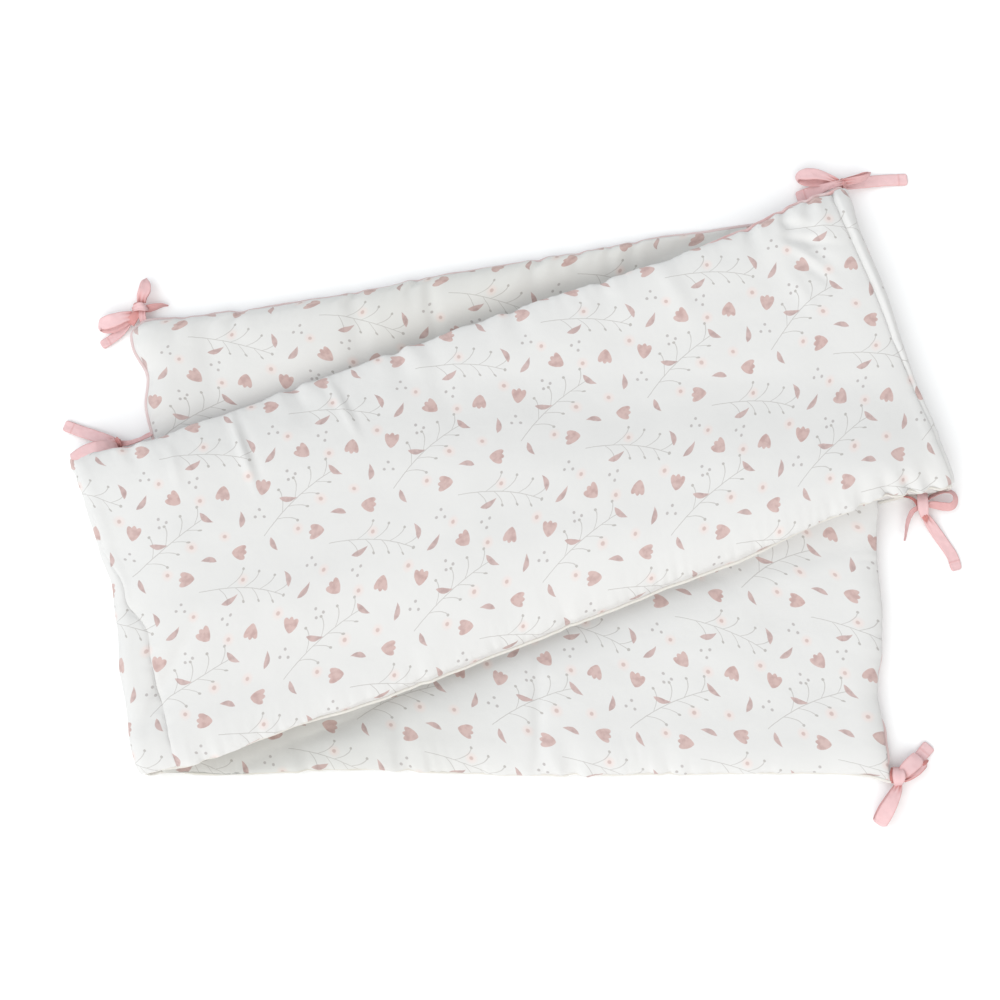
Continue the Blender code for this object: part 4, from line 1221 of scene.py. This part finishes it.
def piping_route(lower, top, bottom):
    """Along the lower section's free end, the upper long edge and the bottom section's free end."""
    def end_line(part, row, next_row, out):
        line = seam_middle(part, row, slice(None))
        outward = unit((line - seam_middle(part, next_row, slice(None))) * np.array((1.0, 1.0, 0.0)))
        return line + outward * np.reshape(out, (-1, 1))

    edges = []
    for part in (lower, top, bottom):
        edges.append(seam_middle(part, slice(None), -1) + level_unit(part["out"][:, -1]) * PIPING_TUCK)
    along = np.linspace(0.0, 1.0, lower["outer"].shape[1])
    hidden = MM * read(LOWER_END_TUCKS, along) + 0.0008 * noise(along * 8.0, 0.5, 81)
    first = end_line(lower, 0, EDGE_RINGS // 2, hidden)
    last = end_line(bottom, -1, -1 - EDGE_RINGS // 2, PIPING_TUCK)[::-1]
    cut = PIPING_CORNER
    run = np.concatenate((first[:-cut], edges[0][cut:], edges[1], edges[2][:-cut], last[cut:]))
    return evenly(softened(evenly(run, 0.002), 3), PIPING_STEP)


# Ties ------------------------------------------------------------

TAPE_WIDTH = 0.0125
TAPE_THICKNESS = 0.0009
TAPE_STEP = 0.0009
TAPE_CELLS = 12
TAPE_LOWEST = 0.0003  # above the floor
HEM = 0.0080  # turned-under end of a tail
# painted shade along the hem's edge
HEM_PAINTED_SHADE = 0.35
CORNER = 0.0022  # rounding of a tail's end
LOOP_CLOSED = 0.0019
LOOP_BOW = 0.0034  # how far the middle of a loop's fold stands out before its edges
PLEAT_DEPTH = 0.0016  # of tape gathered into the knot
PLEAT_REACH = 0.0100
BIT_PLEATS = 0.3
# reach of the painted shade along the first stretch out of the knot
ROOT_REACH = 0.0026
KNOT_AROUND = 40
KNOT_ALONG = 26
# painted shade over the knot's core
KNOT_PAINTED_SHADE = 0.85
HOME_3D = np.array((*HOME, 0.0))

# Each tie has its knot's place, half sizes and heading in degrees, and its strands: (kind, a loop's
# opening and sideways fan, painted shade, points). The painted shade darkens a strand towards the deep fold
# colour where it lies in shade in the knot. A point is (x and y from the knot's place, height, lean in
# degrees, share of the tape's width). Lengths are in millimetres. A loop is folded over at its tip, a tail
# ends in a hem, and a bit has both ends out of sight.
TIES = {
    "tie_bottom_end": ((-330.1, 183.7, 8.5), (5.6, 4, 5), -8, (
        ("loop", 4.2, 0, 0.1, (
            (1.6, 3.8, 8.5, 0, 0.62), (2.5, 9.5, 10, 5, 0.74), (4.6, 15, 10.5, 10, 0.86),
            (4.9, 20.6, 9.5, 12, 0.72), (4.9, 25.7, 7.5, 15, 0.24))),
        ("bit", 0, 0, 0.45, (
            (4, -2.3, 7.5, 10, 0.5), (9.4, -0.9, 6.8, 40, 0.58), (15.6, 0.8, 6, 52, 0.52),
            (20.8, 2.3, 4.8, 60, 0.34), (25.6, 2.4, 3.6, 65, 0.1))),
        ("loop", 5.2, 3.6, 0, (
            (-5.6, -9, 8.5, 0, 0.6), (-13.1, -11.9, 9.2, -4, 0.82), (-21.7, -15.3, 9.2, -6, 1),
            (-29.2, -17.2, 8, -6, 0.98), (-35.4, -17.4, 6.2, -6, 0.8))),
        ("tail", 0, 0, 0.05, (
            (-8, -10.1, 5.5, 0, 0.6), (-13.1, -16.7, 4, 8, 0.72), (-19.5, -23.9, 2.6, 6, 0.72),
            (-26.8, -30, 1.8, 4, 0.68), (-34.9, -35, 1.4, 0, 0.64))),
        ("bit", 0, 0, 0.75, (
            (-0.1, -2.2, 9.5, 0, 0.45), (-1.9, -7.4, 11.2, -10, 0.6), (-5.1, -12.4, 10.5, -14, 0.66),
            (-7.6, -16.3, 7, -10, 0.56))),
        ("bit", 0, 0, 0.15, (
            (3, -3, 10.5, 0, 0.46), (3.3, -7.9, 11.2, 0, 0.5), (3.7, -11.5, 10.5, 0, 0.52),
            (4.3, -14.3, 8.8, 0, 0.52))),
        ("bit", 0, 0, 0, (
            (-6.4, -3, 8, 0, 0.34), (-2.9, -2.5, 12.8, 0, 0.5), (1.6, -1.7, 14.8, 0, 0.62),
            (5.5, -1.7, 13.2, 0, 0.6), (7, -0.9, 8, 0, 0.48))),
    )),
    "tie_left_fold": ((-344.8, 55.4, 11.8), (3.8, 4.2, 4.4), 22, (
        ("tail", 0, 0, 0, (
            (-0.5, 0, 11.5, 0, 0.55), (-8.9, 2.8, 10.8, 10, 0.8), (-18.5, 6.2, 8.5, 8, 0.86),
            (-30.3, 10.6, 5.2, 6, 0.86), (-40.9, 14.6, 3, 3, 0.84), (-50.6, 18.4, 2, 0, 0.82))),
        ("bit", 0, 0, 0, (
            (0.8, -2.4, 19.6, 6, 0.66), (-6.1, -6.4, 28.2, 6, 1.04), (-14.7, -10, 33.4, 4, 1.12),
            (-22.6, -12.7, 35.2, 4, 1.06), (-29.5, -15.2, 35.8, 6, 0.82), (-36.1, -17.4, 35.2, 8, 0.46))),
        ("bit", 0, 0, 0.22, (
            (0.9, -1.2, 11.5, 0, 0.5), (8.5, -0.1, 11.2, -35, 0.52), (16.4, 2.4, 10.8, -42, 0.52),
            (23.3, 5.7, 9.8, -40, 0.48), (30.2, 9.3, 8.6, -30, 0.4))),
        ("bit", 0, 0, 0.8, (
            (-2.4, 4.9, 9.5, 0, 0.34), (0.2, 1.2, 15, 0, 0.42), (1.6, -2.3, 15.8, 0, 0.46),
            (1.4, -4.6, 11, 0, 0.4))),
        ("bit", 0, 0, 0, (
            (-5.7, 5.3, 10, 0, 0.2), (-3.1, 1.4, 14.8, 0, 0.26), (-1.5, -2.1, 15.6, 0, 0.26),
            (-1.2, -4.3, 11, 0, 0.2))),
    )),
    "tie_right_fold_upper": ((313, 299, 14.5), (4.6, 3, 4), 8, (
        ("loop", 8, 3, 0.05, (
            (-2.1, 0.2, 16, 0, 0.45), (-10.3, 2.9, 16.2, 8, 0.58), (-19.9, 5, 15.8, 12, 0.84),
            (-29.3, 6.5, 14.2, 10, 0.98), (-36.5, 8, 10.8, 5, 0.7))),
        ("tail", 0, 0, 0.1, (
            (7.9, 2.7, 15, -15, 0.34), (-1.4, -1.3, 19.6, -12, 0.46), (-10.3, -3.1, 17.2, -14, 0.56),
            (-19.4, -4.8, 11.2, -12, 0.78), (-27.9, -6.7, 6.5, -8, 0.88), (-37.7, -9.4, 3.5, 0, 0.82))),
        ("loop", 3.4, 0, 0.25, (
            (2.4, 0.8, 16.5, 15, 0.48), (10.7, 2.5, 16.8, 38, 0.56), (18.6, 5.2, 15, 46, 0.56),
            (25.1, 8.7, 13, 54, 0.46), (29.4, 12, 11.2, 60, 0.16))),
        ("tail", 0, 0, 0, (
            (0.5, -0.6, 12, 0, 0.45), (11.2, 0.7, 9.4, 6, 0.64), (27, 5.2, 5, 4, 0.86),
            (45.3, 7.9, 2.4, 0, 0.88), (66.1, 9.2, 1.4, 0, 0.88))),
        ("bit", 0, 0, 0.55, (
            (2.8, 5.6, 13, 0, 0.3), (3.1, 1.4, 18.2, 0, 0.36), (4.3, -1.7, 18.2, 0, 0.36),
            (6.1, -3.5, 13, 0, 0.32))),
    )),
    "tie_right_fold_lower": ((379.4, -1, 10), (4.2, 8, 5.2), 5, (
        ("bit", 0, 0, 0.15, (
            (3.4, 4.7, 11.5, 112, 0.52), (8.2, 7.8, 10.8, 116, 0.58), (14.8, 10.7, 10.2, 118, 0.62),
            (21.7, 12.6, 9.8, 122, 0.66), (27.1, 11, 9.6, 128, 0.68), (29.2, 6.5, 9.4, 132, 0.68),
            (28.3, 1.8, 9.2, 136, 0.68), (24.6, -1.3, 9.2, 138, 0.68), (18.1, -1.2, 9.4, 138, 0.68),
            (10.8, -0.2, 9.8, 134, 0.64), (4.4, 0.6, 10.6, 122, 0.54))),
        ("tail", 0, 0, 0.05, (
            (1.6, -8.9, 8.5, 0, 0.52), (6.4, -15.8, 6.2, 4, 0.72), (14, -26.2, 3, 4, 0.8),
            (21.6, -37, 1.6, 0, 0.8), (26.8, -46.4, 1.5, 0, 0.8), (29.9, -57.8, 1.4, 0, 0.76))),
        ("bit", 0, 0, 0, (
            (-3.4, -2, 10.8, 134, 0.42), (-9.1, -4.9, 9.8, 142, 0.46), (-12.7, -10.8, 9, 146, 0.42),
            (-15.2, -19.7, 8.2, 146, 0.33), (-17.4, -32.1, 7.2, 140, 0.12))),
        ("bit", 0, 0, 0, (
            (-0.5, 11.8, 12, 0, 0.7), (-1.5, 4.8, 16, 0, 0.78), (-1.3, -2.4, 16, 0, 0.8),
            (0.1, -7.8, 13, 0, 0.7), (1.9, -11.1, 8.5, 0, 0.55))),
        ("bit", 0, 0, 0.95, (
            (-17.2, 7.6, 10, 20, 0.08), (-12.1, 6.7, 11.2, 20, 0.17), (-7.7, 4.1, 11.6, 20, 0.24),
            (-4.4, -0.7, 11, 20, 0.26))),
        ("bit", 0, 0, 0.95, (
            (0.2, -7.5, 11.2, 0, 0.3), (1.3, -10.7, 11, 0, 0.44), (2.5, -13.2, 9.4, 0, 0.34),
            (3.3, -15.3, 7.8, 0, 0.08))),
    )),
    "tie_lower_end": ((348.5, -242.2, 8.8), (5, 6.4, 5.6), 10, (
        ("loop", 5.5, -1.6, 0.05, (
            (0.2, -6.1, 8.5, 0, 0.42), (-2.2, -11.2, 9.2, 10, 0.66), (-6.7, -19.4, 10, 12, 0.9),
            (-12.4, -29.3, 9.5, 10, 1.06), (-17.5, -39.1, 7.2, 5, 1))),
        ("tail", 0, 0, 0, (
            (5.2, 1.8, 7.2, 0, 0.56), (11.9, 8.2, 5.6, -4, 0.8), (18.1, 14.5, 4.2, -4, 0.88),
            (23.9, 21, 3, 2, 0.9), (30, 27.7, 1.6, 0, 0.93))),
        ("loop", 3.4, 0, 0, (
            (1.5, 0.8, 10, 0, 0.64), (6.7, 6.5, 10.8, -4, 0.98), (12.7, 11.6, 10, -6, 1.1),
            (18.5, 16.5, 8.2, -6, 1.06))),
        ("loop", 2.2, 0, 0.16, (
            (4, -1.7, 8.2, -24, 0.44), (10.3, 1.3, 9.8, -28, 0.54), (17.3, 5.8, 10, -30, 0.58),
            (24, 11.6, 8.8, -34, 0.46))),
        ("bit", 0, 0, 0.95, (
            (19.5, 9.1, 9.6, -30, 0.2), (21.8, 11.2, 10.4, -30, 0.26), (24.3, 13.1, 9.8, -30, 0.26),
            (26.4, 14.5, 8.4, -30, 0.14))),
        ("bit", 0, 0, 0, (
            (-0.6, 8.3, 8.5, 0, 0.62), (-0.9, 5, 14.2, 0, 0.84), (-1, -0.2, 15.8, 0, 0.92),
            (-1.1, -4.9, 13.8, 0, 0.72), (-0.1, -8.1, 8, 0, 0.46))),
        ("bit", 0, 0, 0.95, (
            (-5.3, 8.1, 9.8, 0, 0.2), (-6.5, 3.8, 11.6, 0, 0.26), (-6.5, -0.9, 11.6, 0, 0.28),
            (-5.6, -5.2, 9, 0, 0.26))),
    )),
}


def between(rows, u):
    """Catmull-Rom reading of rows at the places u, from 0 to the last row's index."""
    padded = np.concatenate((2 * rows[:1] - rows[1:2], rows, 2 * rows[-1:] - rows[-2:-1]))
    i = np.minimum(u.astype(int), len(rows) - 2)
    f = (u - i)[:, None]
    before, a, b, after = padded[i], padded[i + 1], padded[i + 2], padded[i + 3]
    bend = 2 * before - 5 * a + 4 * b - after
    twist = 3 * (a - b) + after - before
    return a + 0.5 * f * ((b - before) + f * (bend + f * twist))


def strand_rows(kind, opening, fan, points):
    """Rows of place, width direction and share of the tape's width, and the row of a loop's tip.

    A loop comes back below its way out; its fan moves the two apart sideways.
    """
    places, leans, shares = points[:, :3], np.radians(points[:, 3:4]), points[:, 4:]
    headings = np.gradient(places, axis=0)
    side = level_unit(headings[:, :2] @ np.array(((0.0, 1.0), (-1.0, 0.0))))
    wide = np.cos(leans) * side + np.sin(leans) * UP
    if kind != "loop":
        return np.concatenate((places, wide, shares), axis=1), None
    profile = np.sin(math.pi * (0.12 + 0.70 * np.arange(len(points))[:, None] / (len(points) - 1)))
    apart = unit(np.cross(headings, wide)) * 0.5 * np.maximum(opening * profile, LOOP_CLOSED)
    apart = apart - wide * 0.5 * fan * profile
    out, back = (np.concatenate((places + sign * apart, wide, shares), axis=1) for sign in (1.0, -1.0))
    tip = np.concatenate((places[-1] + unit(headings[-1]) * 0.35 * opening, wide[-1], shares[-1]))
    return np.concatenate((out, tip[None, :], back[::-1])), len(out)


def ribbon(parts, kind, rows, tip_row, painted_fold_shade, seed):
    """A strip of tape along the rows, with rounded edges, pleats and soft crumples; returns its length."""
    hemmed = kind == "tail"
    fine = np.linspace(0.0, len(rows) - 1, 40 * len(rows))
    lengths = travelled(between(rows, fine)[:, :3])
    length = float(lengths[-1])
    targets = np.linspace(0.0, length, max(int(length / TAPE_STEP), 6) + 1)
    u = np.interp(targets, lengths, fine)
    course = between(rows, u)
    places, share = course[:, :3] + HOME_3D, course[:, 6]
    along = unit(np.gradient(places, axis=0))
    wide = unit(course[:, 3:6] - np.sum(course[:, 3:6] * along, axis=1, keepdims=True) * along)
    thick = np.cross(along, wide)[:, None]
    c = np.linspace(-1.0, 1.0, TAPE_CELLS + 1)
    half = 0.5 * TAPE_WIDTH * share
    if hemmed:
        cut = np.clip(1.0 - (length - targets) / CORNER, 0.0, 1.0)
        half = half - 0.8 * CORNER * (1.0 - np.sqrt(1.0 - cut * cut))

    # relief across the tape
    from_root = targets if tip_row is None else np.minimum(targets, length - targets)
    gather = np.clip(1.0 - share, 0.0, 0.6) * np.exp(-((from_root / PLEAT_REACH) ** 2))
    gather = (gather * (BIT_PLEATS if kind == "bit" else 1.0))[:, None]
    turns = c * 2.3 * math.pi + (0.7 + 0.9 * noise(targets / 0.012, 0.5, seed + 5))[:, None]
    pleat = PLEAT_DEPTH * gather * np.cos(turns)
    crumple = 0.00040 * noise(targets[:, None] / 0.006, c[None, :] * 1.1, seed)
    cup = 0.0007 * noise(targets / 0.015, 0.5, seed + 3)[:, None] * c**2
    middle = places[:, None] + wide[:, None] * (half[:, None] * c)[..., None]
    middle = middle + thick * (crumple + pleat + cup)[..., None]
    if tip_row is not None:
        forward = unit(rows[tip_row, :3] - 0.5 * (rows[tip_row - 2, :3] + rows[tip_row + 2, :3]))
        near_tip = np.exp(-(((u - tip_row) / 0.9) ** 2))
        middle = middle - forward * (LOOP_BOW * near_tip[:, None] * np.abs(c) ** 2.5)[..., None]
    edge = 0.5 * TAPE_THICKNESS * np.sqrt(np.clip(1.0 - 0.75 * np.abs(c) ** 8, 0.0, 1.0))
    edge = np.broadcast_to(edge, (len(targets), len(c))).copy()
    if hemmed:
        turned = smooth(targets, length - HEM - 0.0006, length - HEM)[:, None]
        stitch = np.exp(-(((targets - length + HEM - 0.0014) / 0.0006) ** 2))[:, None]
        edge += 0.00055 * turned - 0.00050 * stitch * turned
    front, back = middle + thick * edge[..., None], middle - thick * edge[..., None]
    ring = np.concatenate((front, back[:, ::-1]), axis=1)
    ring[..., 2] = np.maximum(ring[..., 2], TAPE_LOWEST)

    # painted shade: darker in the troughs of the pleats, along the first stretch out of the knot and at the
    # hem's edge; the tape's back face is painted darker still
    trough = 1.9 * gather * (0.5 - 0.5 * np.cos(turns))
    rooted = 0.5 * np.exp(-from_root / ROOT_REACH)[:, None]
    if hemmed:
        rooted = rooted + HEM_PAINTED_SHADE * np.exp(-(((targets - length + HEM) / 0.0007) ** 2))[:, None]
    fold = painted_fold_shade + (1.0 - painted_fold_shade) * np.clip(trough + rooted, 0.0, 0.85)
    under = np.clip(fold + 0.25, 0.0, 1.0)
    parts.painted_shades.append(np.concatenate((fold, under[:, ::-1]), axis=1).ravel())
    flat = 0.5 * TAPE_WIDTH * np.concatenate((c, c[::-1], c[:1]))
    start = parts.grid(ring, flat_grid(targets + 0.05 * seed, flat))
    columns = ring.shape[1]
    last = start + (len(ring) - 1) * columns
    for base, order in ((start, -1), (last, 1)):
        for j in range(TAPE_CELLS):
            quad = [base + j, base + j + 1, base + columns - 2 - j, base + columns - 1 - j]
            parts.cap(quad[::order])
    return length


def knot(parts, place, half_sizes, heading, seed):
    """The core of a knot: a plump form with folds of gathered tape, its colour painted deep in shade; its
    bands are strands of their own.
    """
    turn = np.array(Matrix.Rotation(math.radians(heading), 3, "Z"))
    a = np.linspace(0.0, math.pi, KNOT_ALONG)[:, None]
    b = (2.0 * math.pi * np.arange(KNOT_AROUND) / KNOT_AROUND)[None, :]
    radius = np.sin(a) ** 0.75
    form = np.stack((np.cos(a) * np.ones_like(b), radius * np.cos(b), radius * np.sin(b)), axis=-1)
    folds = 0.055 * np.sin(5.0 * a + 1.3 * np.sin(b + seed)) + 0.07 * noise(a * 2.2, np.cos(b) * 1.5, seed)
    form = form * (1.0 + folds * np.sin(a))[..., None]
    points = form * (MM * np.array(half_sizes)) @ turn.T + place + HOME_3D
    start = parts.grid(points[1:-1], flat_grid(a[1:-1, 0] * 0.006, np.linspace(0.0, 0.03, KNOT_AROUND + 1)))
    parts.points.append(points[(0, -1), 0])
    # painted shade over the whole core
    parts.painted_shades.append(np.full(parts.count() - start, KNOT_PAINTED_SHADE))
    low, high = parts.count() - 2, parts.count() - 1
    last = start + (KNOT_ALONG - 3) * KNOT_AROUND
    for j in range(KNOT_AROUND):
        k = (j + 1) % KNOT_AROUND
        parts.cap((start + k, start + j, low))
        parts.cap((last + j, last + k, high))


def tie_piece(name, material, knot_seed, first_strand):
    """One tie: its knot and strands in one piece; returns it and the length of tape that shows.

    Strands are counted through all ties, which gives each its own seed.
    """
    place, half_sizes, heading, strands = TIES[name]
    place = MM * np.array(place)
    parts = Parts()
    knot(parts, place, half_sizes, heading, knot_seed)
    shown = 0.0
    for i, (kind, opening, fan, painted_fold_shade, points) in enumerate(strands, first_strand):
        points = np.array(points, float)
        points[:, :3] *= MM
        points[:, :2] += place[:2]
        rows, tip_row = strand_rows(kind, MM * opening, MM * fan, points)
        shown += ribbon(parts, kind, rows, tip_row, painted_fold_shade, knot_seed + 7 * i)
    return parts.object(name + "_tape", material), shown


# Stage -----------------------------------------------------------

FLOOR_HALF = 6.0
FLOOR_DROP = 0.0003
FLOOR_TONES = ((0.965, 0.965, 0.965), (0.975, 0.975, 0.975))
SKY_COLOUR = (0.975, 0.988, 1.0, 1.0)
SKY_STRENGTH = 0.63
# Name, azimuth, elevation and angular size in degrees, share of the light on the floor, colour
LIGHTS = (
    ("front_softbox", 190.0, 47.0, 60.0, 0.385, (1.0, 0.984, 0.958)),
    ("left_softbox", 285.0, 48.0, 50.0, 0.22, (0.86, 0.945, 1.0)),
)
LIGHT_DISTANCE = 3.0
CAMERA_DISTANCE = 1.60
CAMERA_ELEVATION = 80.0
CAMERA_TARGET_HEIGHT = 0.03
CAMERA_LENS = 65.0
CAMERA_SENSOR = 36.0


def floor_piece():
    material, n, shader = principled("floor", 0.9, 0.0, 0.5, 0.0)
    coordinates = n.add("ShaderNodeTexCoord").outputs["Object"]
    n.plug(shader, "Base Color", n.mix(n.noise(coordinates, 1.5, 2.0), *FLOOR_TONES))
    data = bpy.data.meshes.new("floor")
    corners = [(FLOOR_HALF * x, FLOOR_HALF * y, -FLOOR_DROP) for x, y in ((-1, -1), (1, -1), (1, 1), (-1, 1))]
    data.from_pydata(corners, [], [(0, 1, 2, 3)])
    data.materials.append(material)
    item = add_object("floor", data)


def aim(item, place, direction):
    item.location = place
    item.rotation_euler = direction.to_track_quat("-Z", "Y").to_euler()


def broad_light(name, azimuth, elevation, size, share, colour):
    """A far, broad light."""
    turn, rise = math.radians(azimuth), math.radians(elevation)
    data = bpy.data.lights.new(name, "SUN")
    data.angle = math.radians(size)
    data.energy = math.pi * share / math.sin(rise)
    data.color = colour
    place = Vector((math.cos(rise) * math.sin(turn), math.cos(rise) * math.cos(turn), math.sin(rise)))
    aim(add_object(name, data), place * LIGHT_DISTANCE, -place)


def lights():
    world = bpy.data.worlds.new("studio")
    bpy.context.scene.world = world
    world.use_nodes = True
    background = world.node_tree.nodes["Background"]
    background.inputs["Color"].default_value = SKY_COLOUR
    background.inputs["Strength"].default_value = SKY_STRENGTH
    for light in LIGHTS:
        broad_light(*light)


def camera():
    data = bpy.data.cameras.new("camera")
    data.lens = CAMERA_LENS
    data.sensor_width = CAMERA_SENSOR
    elevation = math.radians(CAMERA_ELEVATION)
    offset = Vector((0.0, -math.cos(elevation), math.sin(elevation))) * CAMERA_DISTANCE
    item = add_object("camera", data)
    aim(item, Vector((HOME[0], HOME[1], CAMERA_TARGET_HEIGHT)) + offset, -offset)
    bpy.context.scene.camera = item


# Putting it together ---------------------------------------------


def cover_pieces(cotton):
    made = []
    for name, start, end, rounded_start, rounded_end in (
        ("cover_lower", free_lower, left_hinge, True, False),
        ("cover_top", left_hinge, right_hinge, False, False),
        ("cover_bottom", right_hinge, free_bottom, False, True),
    ):
        piece, part = pad_piece(name, start, end, rounded_start, rounded_end, cotton)
        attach(piece, "root")
        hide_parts("bumper")
        made.append(part)
    return made


def piping_piece(made):
    piping = tube("piping_cord", piping_route(*made), PIPING_RADIUS, PIPING_SIDES, piping_material())
    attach(piping, "root")
    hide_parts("piping")


def tie_pieces(tape):
    strand = 0
    for i, name in enumerate(TIES):
        piece, shown = tie_piece(name, tape, 100 + 50 * i, strand)
        strand += len(TIES[name][-1])
        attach(piece, "root")
        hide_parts(name)


def main():
    piping_piece(cover_pieces(cotton_material()))
    tie_pieces(tape_material())
    floor_piece()
    lights()
    camera()
    view = bpy.context.scene.view_settings
    view.view_transform = "Standard"
    view.look = "None"


main()
